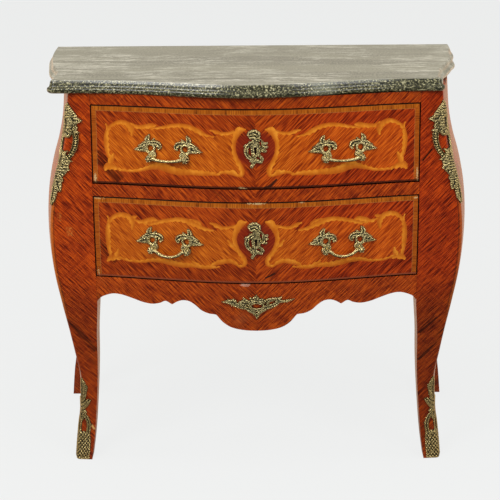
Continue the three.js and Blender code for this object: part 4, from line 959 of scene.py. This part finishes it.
# Cast mounts
def castField(points, strokes, holes=()):
    # depth inside the casting's outline and height of its relief, for each point
    depth = np.full(len(points), -1e3)
    lift = np.zeros(len(points))
    for stroke in strokes:
        edge, across, along, length = strokeField(points, stroke["path"], 0.8)
        q = np.clip(np.abs(across), 0, 1)
        ridge = np.sqrt(np.clip(1 - q ** 2, 0, 1))
        if stroke["kind"] == "leaf":
            flutes = 0.5 + 0.5 * np.cos(2 * np.pi * (along / stroke.get("pitch", 4.6) - 0.6 * q))
            edge = edge + 0.8 * (1 - flutes)
            vein = np.clip(q / 0.25, 0, 1)
            ridge = ridge * (0.25 + 0.35 * vein + 0.5 * flutes * np.clip(q * 2, 0, 1))
        elif stroke["kind"] == "rope":
            ridge = ridge * (0.66 + 0.34 * np.cos(2 * np.pi * (along / 4.4 + across * 0.35)))
        elif stroke["kind"] == "beads":
            bead = (along / 4.6) % 1
            pearl = np.sqrt(np.clip(1 - (q / 0.5) ** 2 - ((bead - 0.5) * 2.1) ** 2, 0, 1))
            ridge = np.maximum(np.exp(-((q - 0.82) / 0.14) ** 2), pearl)
        elif stroke["kind"] == "scales":
            u, v = points[:, 0], points[:, 1]
            ridge = ridge * (0.55 + 0.45 * np.cos(np.pi * u / 3.1) * np.cos(np.pi * v / 4.3))
        elif stroke["kind"] == "channel":
            ridge = ridge * (0.4 + 0.75 * np.clip((q - 0.2) / 0.4, 0, 1))
        height = stroke["height"] * ridge * (edge < 0)
        depth = np.maximum(depth, -edge)
        lift = np.maximum(lift, height)
    for u, v, a, b in holes:
        gone = (np.hypot((points[:, 0] - u) / a, (points[:, 1] - v) / b) - 1) * min(a, b)
        depth = np.minimum(depth, gone)
    return depth, lift


def softened(grid, rounds):
    for _ in range(rounds):
        grid = (grid + np.roll(grid, 1, 0) + np.roll(grid, -1, 0) + np.roll(grid, 1, 1)
                + np.roll(grid, -1, 1)) / 5
    return grid


def castPiece(name, strokes, holes, toSpace, bodyName, replaced, step=0.6, extra=None, lowest=None,
              base=1.1, rimHeight=1.3, thin=1.0, metal=brass):
    paths = np.vstack([np.array(s["path"], float) for s in strokes])
    low = (paths[:, :2] - paths[:, 2:]).min(0) - 2
    high = (paths[:, :2] + paths[:, 2:]).max(0) + 2
    us, vs = np.arange(low[0], high[0], step), np.arange(low[1], high[1], step)
    gridU, gridV = np.meshgrid(us, vs, indexing="ij")
    points = np.stack([gridU.ravel(), gridV.ravel()], 1)
    depth, lift = castField(points, strokes, holes)
    if lowest is not None:
        depth = np.minimum(depth, points[:, 1] - lowest)
    shape = gridU.shape
    field = depth.reshape(shape)
    middle = (field[:-1, :-1] + field[1:, :-1] + field[:-1, 1:] + field[1:, 1:]) / 4
    kept = middle > 0
    # cells that only meet at a corner are filled, so that the casting stays one skin
    for _ in range(3):
        a, b, c, d = kept[:-1, :-1], kept[1:, 1:], kept[1:, :-1], kept[:-1, 1:]
        rising, falling = a & b & ~c & ~d, c & d & ~a & ~b
        kept[1:, :-1] |= rising
        kept[:-1, :-1] |= falling
    slopeU, slopeV = np.gradient(field, step)
    slope = np.maximum(np.hypot(slopeU, slopeV), 0.2)
    used = np.zeros(shape, bool)
    full = np.ones(shape, bool)
    for du in (0, 1):
        for dv in (0, 1):
            used[du:shape[0] - 1 + du, dv:shape[1] - 1 + dv] |= kept
            full[du:shape[0] - 1 + du, dv:shape[1] - 1 + dv] &= kept
    full[0] = full[-1] = False
    full[:, 0] = full[:, -1] = False
    rim = used & ~full
    move = np.where(rim, np.clip(-field / slope, -0.75 * step, 0.75 * step), 0)
    gridU = gridU + move * slopeU / slope
    gridV = gridV + move * slopeV / slope
    t = np.clip(field / 1.1, 0, 1)
    dome = base * np.sqrt(1 - (1 - t) ** 2) + lift.reshape(shape) * t * thin
    height = rimHeight + np.where(rim, 0, dome)
    relief = np.where(used, height, 0)
    # relief becomes the brass's brightness: dark in the hollows, bright on the raised parts; partly tarnish and
    # rubbing, partly painted shade and painted highlight
    relief = 0.42 + ((relief - softened(relief, 16)) * 0.42 + (relief - rimHeight - base) * 0.07) / thin
    index = -np.ones(shape, int)
    index[used] = np.arange(used.sum())
    count = int(used.sum())
    u, v, d = gridU[used], gridV[used], height[used]
    top = toSpace(u, v, d)
    bottom = toSpace(u, v, np.full(count, -0.4))
    a, b, c, e = index[:-1, :-1][kept], index[1:, :-1][kept], index[1:, 1:][kept], index[:-1, 1:][kept]
    quads = np.stack([a, b, c, e], 1)
    faces = quads.tolist() + (quads[:, ::-1] + count).tolist()
    sides_ = {}
    for quad in quads.tolist():
        for k in range(4):
            edge = (quad[k], quad[(k + 1) % 4])
            if (edge[1], edge[0]) in sides_:
                del sides_[(edge[1], edge[0])]
            else:
                sides_[edge] = True
    faces += [(m, n, n + count, m + count)[::-1] for m, n in sides_]
    rubbedShineAndShade = np.clip(relief[used], 0, 1)
    points3 = np.vstack([top, bottom])
    values = np.concatenate([rubbedShineAndShade, np.zeros(count)])
    if extra:
        more, moreFaces, moreValues = extra
        faces += [tuple(i + len(points3) for i in face) for face in moreFaces]
        points3, values = np.vstack([points3, more]), np.concatenate([values, moreValues])
    return makePiece(name, points3, faces, metal, bodyName, "brass", replaced,
                     values={"lift": values}, sharp=48)


def onFront(centreX, centreZ):
    def toSpace(u, v, d):
        x, z = centreX + u, centreZ + v
        return stack(x, frontY(x, z) - d, z)
    return toSpace


handle = {
    "x": 167.5, "half": 35, "reach": 11, "pommelRadius": 7, "pommelReach": 16, "rodRadius": 3.1,
    "strokes": [
        {"kind": "leaf", "height": 2.6, "path": [(3, 20, 7), (8, 20, 8.6), (16, 18, 6.8),
                                               (24, 16.4, 4), (33, 14.8, 0.5)]},
        {"kind": "leaf", "height": 2.4, "path": [(4, 28, 5), (10, 27.6, 5), (17, 24.6, 3.2),
                                               (24, 23, 0.8)]},
        {"kind": "leaf", "height": 2.8, "pitch": 3,
         "path": [(3, 28, 5), (5, 33, 6.2), (4.6, 38, 5.2), (2.6, 42, 3.4), (0.4, 45.4, 0.8)]},
        {"kind": "leaf", "height": 2.2, "path": [(-3, 30, 4), (-6, 34, 3.2), (-9.5, 38, 0.8)]},
        {"kind": "channel", "height": 2.6, "path": [(2, 29, 4), (-5, 30, 4.6), (-12, 29.5, 4.8),
                                                  (-18, 27, 4.6), (-20.5, 21.5, 3.6),
                                                  (-17, 18, 2.2)]},
        {"kind": "scroll", "height": 3.2, "path": [(-15.5, 23, 2.4), (-14.6, 23, 2.4)]},
        {"kind": "scroll", "height": 2.6, "path": [(-1, 27.4, 2.8), (-7.4, 25, 2.8), (-9.2, 19, 2.8),
                                                 (-6.4, 12.6, 3), (0, 10.6, 3.2), (6, 13.4, 3),
                                                 (7.8, 19.5, 2.8), (5, 25.4, 2.8),
                                                 (-1, 27.4, 2.8)]},
        {"kind": "scroll", "height": 3.2, "path": [(-2, 12, 5.4), (-3.4, 7, 7), (-1.4, 0, 6.4)]},
        {"kind": "scroll", "height": 2.6, "path": [(-9, 11, 2.4), (-10.5, 6, 3.2), (-9, 1.5, 3)]},
        {"kind": "scroll", "height": 3.4, "path": [(0, 0.5, 7), (0, -0.5, 7)]},
    ],
    "holes": [(-1, 19.3, 4.3, 5.4)],
}


def handleSpace(drawer):
    z = drawer["handleZ"]
    inner = np.array([handle["x"] - handle["half"], frontY(handle["x"] - handle["half"], z), z])
    outer = np.array([handle["x"] + handle["half"], frontY(handle["x"] + handle["half"], z), z])
    span = outer - inner
    along = span / np.linalg.norm(span)
    out = np.array([along[1], -along[0], 0])
    return (inner + outer) / 2, along, out, np.linalg.norm(span) / 2


def inHandle(space, u, v, d):
    centre, along, out, half = space
    u, v, d = np.broadcast_arrays(u, v, d)
    return (centre + u[..., None] * along + d[..., None] * out
            + v[..., None] * np.array([0, 0, 1.0]))


def surfaceOut(space, u, v):
    d = np.zeros(np.broadcast(u, v).shape)
    for _ in range(6):
        p = inHandle(space, u, v, d)
        d = d + p[..., 1] - frontY(p[..., 0], p[..., 2])
    return d


def nutSeat(drawer, space, u):
    shallow = max(float(arrisY(drawer["high"])), float(arrisY(drawer["low"])))
    d = -float(frontThickness)
    for _ in range(6):
        p = inHandle(space, u, 0.0, d)
        innerY = shallow - body["frontBow"] * bowShare(min(abs(p[0]), seatX)) + frontThickness
        d += p[1] - innerY
    return d + 2.4


def pommel(space, drawer, u, sides=40):
    # a petalled rosette on its neck, with the post that runs back through the wood
    end = nutSeat(drawer, space, u) - 0.3 - 4 - 3
    r, reach = handle["pommelRadius"], handle["pommelReach"]
    profile = [(0.01, end), (2.5, end), (2.5, 1), (4.4, 1.2), (4.3, 3.5), (5.6, 5.2), (r * 0.96, 7.4),
               (r, 9.2), (r, 11), (r * 0.98, 12.6), (r * 0.86, 13.9), (r * 0.66, 14.4),
               (r * 0.5, 13.8), (r * 0.42, 14.2), (r * 0.34, 15.3), (r * 0.2, reach - 0.2),
               (0.01, reach)]
    turn = np.linspace(0, 2 * math.pi, sides, endpoint=False)
    rings, lift = [], []
    for radius, d in profile:
        petals = 0.5 + 0.5 * np.cos(6 * turn)
        swell = np.clip((d - 5) / 4, 0, 1) * (radius > r * 0.45)
        wide = radius * (1 - 0.13 * (1 - petals) * swell)
        deep = d - 1.1 * (1 - petals) * swell * (radius > r * 0.6) * (d > 11)
        rings.append(inHandle(space, u + wide * np.cos(turn), wide * np.sin(turn), deep))
        # bright petals and crown, dark neck by the plate: rubbed brass and tarnish, partly painted highlight
        # and painted shade
        lift.append(np.clip(0.35 + 0.65 * petals * np.clip(radius / r, 0, 1), 0, 1) * (d > 2)
                    + 0.9 * (radius < r * 0.4) * (d > 10))
    count = len(rings)
    return np.vstack(rings), loftFaces(count, sides), np.clip(np.concatenate(lift), 0, 1)


def bailPiece(name, drawer, space, mirror, bodyName, replaced):
    start = space[3] - 5.4
    drop = drawer["bailDrop"]
    half = [(0, -drop), (0.3, -drop * 0.93), (0.6, -drop * 0.62), (0.8, -drop * 0.2), (0.93, 0.2),
            (1.0, 0)]
    bow = [(-u * start, v, 0) for u, v in half[::-1]] + [(u * start, v, 0) for u, v in half[1:]]
    line = smoothPath(bow, 1.2)[:, :2]
    ends = np.array([[-space[3] + 1, 0.0]]), np.array([[space[3] - 1, 0.0]])
    line = np.vstack([ends[0], line, ends[1]])
    run = np.gradient(line, axis=0)
    run /= np.linalg.norm(run, axis=1)[:, None]
    turn = np.linspace(0, 2 * math.pi, 16, endpoint=False)
    place = np.abs(line[:, 0]) / start
    radius = handle["rodRadius"] * (0.98 - 0.12 * np.cos(place * math.pi)) + 0.5 * np.exp(
        -((place - 0.88) / 0.05) ** 2)
    radius = np.where(place > 0.985, 1.7, radius)
    rings = []
    for (u, v), (du, dv), r in zip(line, run, radius):
        rings.append(inHandle(space, u - dv * r * np.cos(turn), v + du * r * np.cos(turn),
                              handle["reach"] + r * np.sin(turn)))
    rings = np.array(rings)
    if mirror:
        rings = mirrorPoints(rings)
    # worn bright with a painted highlight above, painted shade below
    lift = 0.86 + 0.15 * np.cos(place * 9)[:, None] - 0.8 * np.clip(-np.cos(turn), 0, 1)
    return loftPiece(name, rings, brass, bodyName, "brass", replaced, values={"lift": lift.ravel()})


def makeHandles():
    for name, drawer in drawers.items():
        space = handleSpace(drawer)
        for side, mirror in (("right", False), ("left", True)):
            for away, place in ((1, "outer"), (-1, "inner")):
                def toSpace(u, v, d, away=away, mirror=mirror):
                    along = away * (space[3] + u)
                    p = inHandle(space, along, v, surfaceOut(space, along, v) + d + leafLift - 0.2)
                    return mirrorPoints(p) if mirror else p
                more, faces, lift = pommel(space, drawer, away * space[3])
                if mirror:
                    more = mirrorPoints(more)
                castPiece(f"{name}Plate_{place}_{side}", handle["strokes"], handle["holes"], toSpace,
                          f"{name}_drawer", (f"{name}_plate_{place}_{side}",),
                          extra=(more, faces, lift))
                nut = nodes[f"{name}_nut_{place}_{side}"]
                nut.data.materials.clear()
                nut.data.materials.append(brass)
            bailPiece(f"{name}Bail_{side}", drawer, space, mirror, f"{name}_pull_{side}",
                      (f"{name}_bail_{side}",))
    print("handles made")


escutcheon = {
    "strokes": [
        {"kind": "leaf", "height": 2.6, "path": [(7, 22, 3), (4, 28, 6), (-2, 31, 6.5),
                                               (-9, 29.5, 6), (-13, 27, 3.5), (-15, 31, 0.8)]},
        {"kind": "scroll", "height": 2.4, "path": [(-12, 23, 2), (-9, 20.5, 2.6), (-4, 22, 3),
                                                 (1, 19, 3)]},
        {"kind": "channel", "height": 2.8, "path": [(1, 19, 3.5), (7, 17.5, 3.5), (12, 13, 3.6),
                                                  (14.5, 8, 3.6), (15, 2, 3.6), (12.5, -3, 3.4)]},
        {"kind": "leaf", "height": 2.2, "path": [(14, 9, 3), (18, 10, 3.4), (21.5, 10.5, 2.6)]},
        {"kind": "leaf", "height": 2.2, "path": [(14, 3.5, 3), (19, 3.5, 3.4), (22.5, 3.5, 2.6)]},
        {"kind": "leaf", "height": 2.2, "path": [(12, -3, 3), (16, -4, 3.4), (19.5, -4.5, 2.6)]},
        {"kind": "channel", "height": 3, "path": [(-5, 12, 3), (-11, 8, 4.5), (-16, 2, 5),
                                                (-17.5, -5, 5), (-15.5, -12, 4.5),
                                                (-11, -17, 4), (-5, -20, 3.5)]},
        {"kind": "leaf", "height": 2.2, "path": [(-16, 6, 2.4), (-19, 6.5, 2.6), (-22, 4.5, 1.4)]},
        {"kind": "leaf", "height": 2, "path": [(-6, 12, 2.4), (-10, 13.5, 2), (-14, 13, 0.6)]},
        {"kind": "scroll", "height": 1.8, "path": [(-1, 14, 6), (0, 6, 8.5), (1, -2, 9),
                                                 (0, -9, 8.5), (0, -14, 6)]},
        {"kind": "rope", "height": 2.8, "path": [(5, 12, 1.4), (8.4, 6, 1.5), (8.8, -2, 1.5),
                                               (6.5, -10, 1.5), (1, -14.5, 1.5)]},
        {"kind": "rope", "height": 2.8, "path": [(-4, 11, 1.3), (-7.4, 5, 1.4), (-7.8, -3, 1.4),
                                               (-6, -10, 1.4), (-2, -14.5, 1.4)]},
        {"kind": "leaf", "height": 2.6, "path": [(6, -12, 3), (10, -15.5, 3.6), (12.5, -19.3, 4),
                                               (11, -24, 3.6), (9, -26.5, 2.6)]},
        {"kind": "scroll", "height": 2.4, "path": [(9, -25, 3), (3.7, -23, 4), (0, -21, 3)]},
        {"kind": "scroll", "height": 2.4, "path": [(-6, -20, 3), (-7.5, -23, 4), (-3, -24, 3)]},
        {"kind": "leaf", "height": 2.4, "path": [(0, -25, 3), (-4, -29, 3.5), (-7, -33, 4),
                                               (-6, -37, 1)]},
    ],
    "holes": [(0, 0, 2.6, 2.6), (0, -5, 1.6, 4.6), (3.8, -17, 1.8, 2), (9.6, 10.6, 1.4, 4.2),
              (-11.4, -4, 1.6, 6.5)],
}
apronMount = {
    "z": 363.5, "strokes": [
        {"kind": "channel", "height": 2.8, "path": [(-13, 0.5, 3.6), (-9, 6.5, 3.6), (0, 9, 3.8),
                                                  (9, 6.5, 3.6), (13, 0.5, 3.6), (9, -5.5, 3.6),
                                                  (0, -8, 3.8), (-9, -5.5, 3.6),
                                                  (-13, 0.5, 3.6)]},
        {"kind": "leaf", "height": 2.6, "path": [(0, 8, 10), (-1, 13, 8.6), (-0.5, 18, 5),
                                               (0, 22, 2.8), (0.2, 25.8, 0.6)]},
        {"kind": "leaf", "height": 2.2, "path": [(-7, 12, 5), (-10, 15.5, 3.6), (-12.5, 19.5, 0.8)]},
        {"kind": "leaf", "height": 2.2, "path": [(7, 12, 5), (10, 14, 3.4), (13, 17, 0.8)]},
        {"kind": "leaf", "height": 2.6, "path": [(0, -6, 13), (0, -12, 10), (0.5, -18, 6),
                                               (1, -28.6, 0.8)]},
        {"kind": "leaf", "height": 2.6, "path": [(-10, 4, 7), (-18, 6, 7.5), (-26, 6.6, 7.2),
                                               (-34, 5.5, 5)]},
        {"kind": "leaf", "height": 2.4, "path": [(-30, 4, 5), (-38, 4.6, 5.4), (-46, 7.6, 6.8),
                                               (-54, 8.6, 5), (-62, 8.8, 3), (-68.5, 8.4, 0.5)]},
        {"kind": "leaf", "height": 2.2, "path": [(-19, 10, 5), (-23, 14, 3.8), (-26, 19, 0.7)]},
        {"kind": "leaf", "height": 2.2, "path": [(-41, 9, 4), (-44, 13, 3), (-46, 16.4, 0.7)]},
        {"kind": "leaf", "height": 2, "path": [(-51, 10, 3.4), (-54, 12.6, 2.4), (-57, 15, 0.6)]},
        {"kind": "leaf", "height": 2.4, "path": [(-12, -6.5, 5.6), (-20, -3.5, 5), (-30, -2, 4.2),
                                               (-42, 1, 2.8), (-50, 2.4, 1.2)]},
        {"kind": "rope", "height": 2.8, "path": [(10, 6.5, 4), (17, 10.5, 4), (26, 13.6, 3.6),
                                               (36, 15.2, 3.4), (45, 16, 3), (49.5, 20, 0.7)]},
        {"kind": "leaf", "height": 2.4, "path": [(11, -3.5, 6), (20, -2.5, 5.6), (29, 0, 5),
                                               (37, 3.6, 5), (43, 9, 4.2)]},
        {"kind": "scroll", "height": 2.2, "path": [(21, 4, 3), (24, 9, 2.6), (31, 12, 2.4)]},
        {"kind": "leaf", "height": 2.2, "path": [(40, 10, 4.6), (48, 10.4, 4), (56, 10, 3.2),
                                               (64, 11.4, 2.8), (74, 14, 0.5)]},
        {"kind": "scroll", "height": 2.6, "path": [(5, -15, 3), (11, -11, 3.4), (18, -7, 2.6)]},
        {"kind": "scroll", "height": 2.6, "path": [(-5, -15, 3), (-11, -12, 3), (-17, -9, 2.2)]},
    ],
    "holes": [(1, 0.5, 10, 4.3), (30, 7.6, 3.2, 2.2), (0, -12.5, 2.4, 1.8), (-19, 1, 1.8, 1.2),
              (-37, 8.6, 1.7, 1.3), (52, 13.4, 1.8, 0.9), (-6, 15, 1.4, 1.4)],
}


def wrapSpace(mirror):
    # a place on the arris: across it (front is positive), height, and distance out
    radius = post["arrisRadius"]

    def toSpace(s, z, d):
        x, y = postX(z), frontY(postX(z), z)
        onFace = np.stack([x - s, frontY(x - s, z)], -1)
        along = np.maximum(-s, 0)
        onFlank = np.stack([sideX(y + along, z, postX), y + along], -1)
        t = np.clip((radius - s) / (2 * radius), 0, 1)[..., None]
        before = np.stack([x - radius, frontY(x - radius, z)], -1)
        after = np.stack([sideX(y + radius, z, postX), y + radius], -1)
        corner = np.stack([x, y], -1)
        bend = before * (1 - t) ** 2 + 2 * t * (1 - t) * corner + after * t ** 2
        flat = np.where(s[..., None] >= radius, onFace, np.where(s[..., None] <= -radius, onFlank, bend))
        turn = t[..., 0] * math.pi / 2
        p = stack(flat[..., 0] + d * np.sin(turn), flat[..., 1] - d * np.cos(turn), z)
        return mirrorPoints(p) if mirror else p
    return toSpace


def bothWays(strokes):
    return strokes + [
        {**stroke, "path": [(-u, v, w) for u, v, w in stroke["path"]]} for stroke in strokes
        if any(abs(u) > 0.5 for u, _, _ in stroke["path"])]


cornerMount = {
    "strokes": bothWays([
        {"kind": "leaf", "height": 2.8, "pitch": 4.4,
         "path": [(0, 757, 0.5), (1, 744, 7.6), (4, 734, 11), (8, 727, 12.4), (14, 722, 9.6),
                  (22, 721.4, 5.6), (31, 722, 0.6)]},
        {"kind": "leaf", "height": 2.8, "pitch": 5, "path": [(0, 735, 8), (0, 715, 12),
                                                             (2, 702, 11), (4, 695, 8)]},
        {"kind": "leaf", "height": 2.4, "pitch": 3.6,
         "path": [(8, 714, 7), (14, 710, 6.4), (19, 707, 4), (22.5, 709, 0.6)]},
        {"kind": "scroll", "height": 2.4, "path": [(17, 700, 4), (22, 699.4, 2.8), (27, 698, 0.7)]},
        {"kind": "beads", "height": 2.8, "path": [(12, 706, 5), (17, 699, 6), (20.4, 689, 6.3),
                                                (21.4, 678, 6.4), (20.6, 668, 6.3),
                                                (17.4, 658, 6), (12, 649, 5.4), (5, 642, 4.6)]},
        {"kind": "scroll", "height": 2.4, "path": [(2, 656, 3), (6, 661, 2.4), (10, 662, 1)]},
        {"kind": "leaf", "height": 3, "pitch": 4.5,
         "path": [(0, 663, 1.5), (0, 655, 7), (1, 646, 11.5), (3, 638, 14), (4, 627, 14.6),
                  (2, 615, 10)]},
        {"kind": "leaf", "height": 2.4, "pitch": 4,
         "path": [(11, 643, 5), (17, 643, 3.2), (23, 642, 0.6)]},
        {"kind": "leaf", "height": 2.4, "pitch": 4,
         "path": [(8, 629, 7), (15, 627, 5), (21.5, 625, 0.6)]},
        {"kind": "leaf", "height": 2.6, "pitch": 4,
         "path": [(0, 616, 8), (2, 606, 9.6), (5, 597, 8.6), (9, 590, 6), (14, 583, 0.8)]},
        {"kind": "leaf", "height": 2.2, "pitch": 4,
         "path": [(5, 610, 5), (10, 606, 4), (15, 603, 0.7)]},
        {"kind": "leaf", "height": 2.6, "pitch": 4,
         "path": [(0, 594, 4), (0, 586, 7.4), (0, 576, 8), (0, 566, 6), (0, 555, 0.6)]},
    ]),
}
sabot = {
    "strokes": bothWays([
        {"kind": "leaf", "height": 3.4, "pitch": 3.4,
         "path": [(0, 128, 7), (0, 140, 9.4), (0, 154, 10), (0, 166, 7), (0, 180, 0.5)]},
        {"kind": "leaf", "height": 2.4, "pitch": 4, "path": [(4, 146, 5), (8, 154, 4), (10, 162, 0.8)]},
        {"kind": "scroll", "height": 3.4, "path": [(0, 108, 4), (6, 113, 4.4), (12, 121, 4),
                                                 (18.5, 129, 0.8)]},
        {"kind": "scroll", "height": 3, "path": [(0, 116, 4), (6, 121, 4), (11, 128, 2),
                                               (15, 130, 0.6)]},
        {"kind": "scroll", "height": 3.2, "path": [(0, 103, 5), (5, 103, 4), (9, 100, 2)]},
        {"kind": "leaf", "height": 2.6, "pitch": 3.6,
         "path": [(0, 86, 6), (0, 95, 8), (0, 104, 6)]},
        {"kind": "channel", "height": 3.2, "path": [(5, 96, 4), (10, 90, 4.2), (14.5, 82, 4.4),
                                                  (17, 72, 4.6), (17, 60, 5), (14, 51, 5)]},
        {"kind": "leaf", "height": 2, "path": [(15, 74, 4), (19, 76, 3), (22.5, 73, 0.8)]},
        {"kind": "rope", "height": 2.4, "path": [(0, 92, 3), (0, 84, 2.6), (0, 70, 2.2), (0, 56, 3)]},
        {"kind": "scroll", "height": 2.2, "path": [(0, 54, 8), (6, 54, 6), (11, 52, 5)]},
        {"kind": "scales", "height": 4.4, "path": [(0, 8, 14), (0, 22, 16), (0, 38, 15), (0, 52, 9)]},
        {"kind": "scales", "height": 4.2,
         "path": [(14, 2, 9), (15, 20, 9), (15, 38, 8), (15, 52, 6)]},
        {"kind": "rope", "height": 3.4, "path": [(21, 4, 2), (22.4, 20, 1.8), (22, 38, 1.8),
                                               (20, 54, 1.8), (18.6, 64, 1.8)]},
        {"kind": "scroll", "height": 2.6, "path": [(0, 3, 3), (8, 3, 3), (16, 3.2, 3), (21.5, 3.6, 3)]},
    ]),
    "holes": [(5.2, 69, 3.4, 10.5), (-5.2, 69, 3.4, 10.5)],
}


def makeMounts():
    for name, drawer in drawers.items():
        castPiece(f"{name}Escutcheon", escutcheon["strokes"], escutcheon["holes"],
                  onFront(0, drawer["keyZ"]), f"{name}_drawer", (f"{name}_escutcheon",), step=0.5)
    castPiece("apronMount", apronMount["strokes"], apronMount["holes"], onFront(0, apronMount["z"]),
              "carcass", ("apron_mount",), step=0.6)
    for side, mirror in (("right", False), ("left", True)):
        castPiece(f"cornerMount_{side}", cornerMount["strokes"], (), wrapSpace(mirror), "carcass",
                  (f"corner_mount_{side}",), step=0.8, metal=cornerBrass)
        castPiece(f"sabot_{side}", sabot["strokes"], sabot["holes"], wrapSpace(mirror), "carcass",
                  (f"sabot_{side}",), step=0.7, lowest=0.4, base=0.6, rimHeight=0.6, thin=0.6,
                  metal=footBrass)
    print("mounts made")


makeHandles()
makeMounts()

# Studio
studio = {
    "backdrop": (0.955, 0.965, 0.96), "skyLight": 0.5, "frontShade": 0.05, "mirrorLight": 0.5,
    "mirrorTone": (0.97, 0.88, 0.76),
    "lamps": [
        # place, size, watts
        ((-1.7, -2.5, 2.8), 1.5, 62), ((2.0, -2.4, 2.5), 1.4, 32), ((0.0, -1.0, 3.1), 1.6, 22),
        ((-3.0, -0.3, 1.5), 1.2, 26), ((3.0, -0.3, 1.5), 1.2, 22),
    ],
    "target": (0, -0.1, 0.42), "floorMirror": (0.98, 0.72, 0.52),
}


def makeStudio():
    world = bpy.context.scene.world or bpy.data.worlds.new("studioWorld")
    bpy.context.scene.world = world
    world.use_nodes = True
    tree = world.node_tree
    tree.nodes.clear()
    room = Paint.__new__(Paint)
    room.tree = tree
    seen = room.node("ShaderNodeLightPath", output="Is Camera Ray")
    glossy = room.node("ShaderNodeLightPath", output="Is Glossy Ray")
    through_ = room.node("ShaderNodeLightPath", output="Is Transmission Ray")
    direction = room.node("ShaderNodeTexCoord", output="Generated")
    ahead = room.node("ShaderNodeSeparateXYZ", sockets={0: direction}, output=1)
    sideways = room.ease(ahead, -0.75, -0.1)
    mirrored = sideways * (studio["mirrorLight"] - studio["frontShade"]) + studio["frontShade"]
    rubbedShineAndShade = glossy * mirrored
    backdrop = (*studio["backdrop"], 1)
    strength = seen.calc("MAXIMUM", seen, through_)
    lit = (1 - strength) * (1 - glossy) * studio["skyLight"]
    total = strength + rubbedShineAndShade + lit
    tone = room.mix(glossy, backdrop, studio["mirrorTone"])
    light = room.node("ShaderNodeBackground", sockets={"Color": tone, "Strength": total})
    target = tree.nodes.new("ShaderNodeOutputWorld")
    tree.links.new(light.socket, target.inputs["Surface"])
    points = [(-9000, -6000, 0), (9000, -6000, 0), (9000, 16000, 0), (-9000, 16000, 0)]
    mesh = bpy.data.meshes.new("studioFloor")
    mesh.from_pydata((np.array(points) * 0.001).tolist(), [], [(0, 1, 2, 3)])
    floor = bpy.data.objects.new("studioFloor", mesh)
    bpy.context.scene.collection.objects.link(floor)
    ground = Paint("studioFloorPaint", Roughness=0.9, Base_Color=(0.36, 0.36, 0.36, 1))
    camera = ground.node("ShaderNodeLightPath", output="Is Camera Ray")
    gloss = ground.node("ShaderNodeLightPath", output="Is Glossy Ray")
    clear = ground.node("ShaderNodeLightPath", output="Is Transmission Ray")
    # in a mirror the floor is dim before the chest and brighter behind it
    behind = ground.ease(ground.place()[1], -0.5, 0.4)
    dim = ground.mix(behind, (0.1, 0.1, 0.1), studio["floorMirror"])
    glow = ground.node("ShaderNodeEmission", sockets={
        "Color": ground.mix(gloss, backdrop, dim), "Strength": 1.0})
    share = camera.calc("MAXIMUM", camera, clear) * 0.84 + gloss * 0.97
    body_ = Wire(ground, ground.shader.outputs[0])
    both = ground.node("ShaderNodeMixShader", sockets={0: share, 1: body_, 2: glow})
    out = ground.tree.nodes["Material Output"]
    ground.tree.links.new(both.socket, out.inputs["Surface"])
    mesh.materials.append(ground.material)
    for k, (place, size, watts) in enumerate(studio["lamps"]):
        data = bpy.data.lights.new(f"softLamp{k}", "AREA")
        data.size, data.energy = size, watts
        lamp = bpy.data.objects.new(f"softLamp{k}", data)
        bpy.context.scene.collection.objects.link(lamp)
        lamp.location = place
        lamp.visible_glossy = k < 2
        lamp.rotation_euler = (Vector(studio["target"]) - Vector(place)).to_track_quat(
            "-Z", "Y").to_euler()


def makeCamera():
    pitch, yaw, roll = 0.3107, -0.0098, -0.0084
    forward = Vector((math.sin(yaw) * math.cos(pitch), math.cos(yaw) * math.cos(pitch),
                      -math.sin(pitch)))
    right = Vector((math.cos(yaw), -math.sin(yaw), 0))
    up = right.cross(forward)
    levelRight = right * math.cos(roll) + up * math.sin(roll)
    levelUp = -right * math.sin(roll) + up * math.cos(roll)
    data = bpy.data.cameras.new("photoCamera")
    data.sensor_width = 36
    data.lens = 36 * 1449.76 / 500
    data.clip_end = 60
    camera = bpy.data.objects.new("photoCamera", data)
    bpy.context.scene.collection.objects.link(camera)
    matrix = camera.matrix_world.copy()
    for row in range(3):
        matrix[row][0] = levelRight[row]
        matrix[row][1] = levelUp[row]
        matrix[row][2] = -forward[row]
    matrix[0][3], matrix[1][3], matrix[2][3] = 0.0144, -2.890, 1.336
    camera.matrix_world = matrix
    bpy.context.scene.camera = camera


makeStudio()
makeCamera()
bpy.context.scene.view_settings.view_transform = "Standard"
print("studio and camera set")
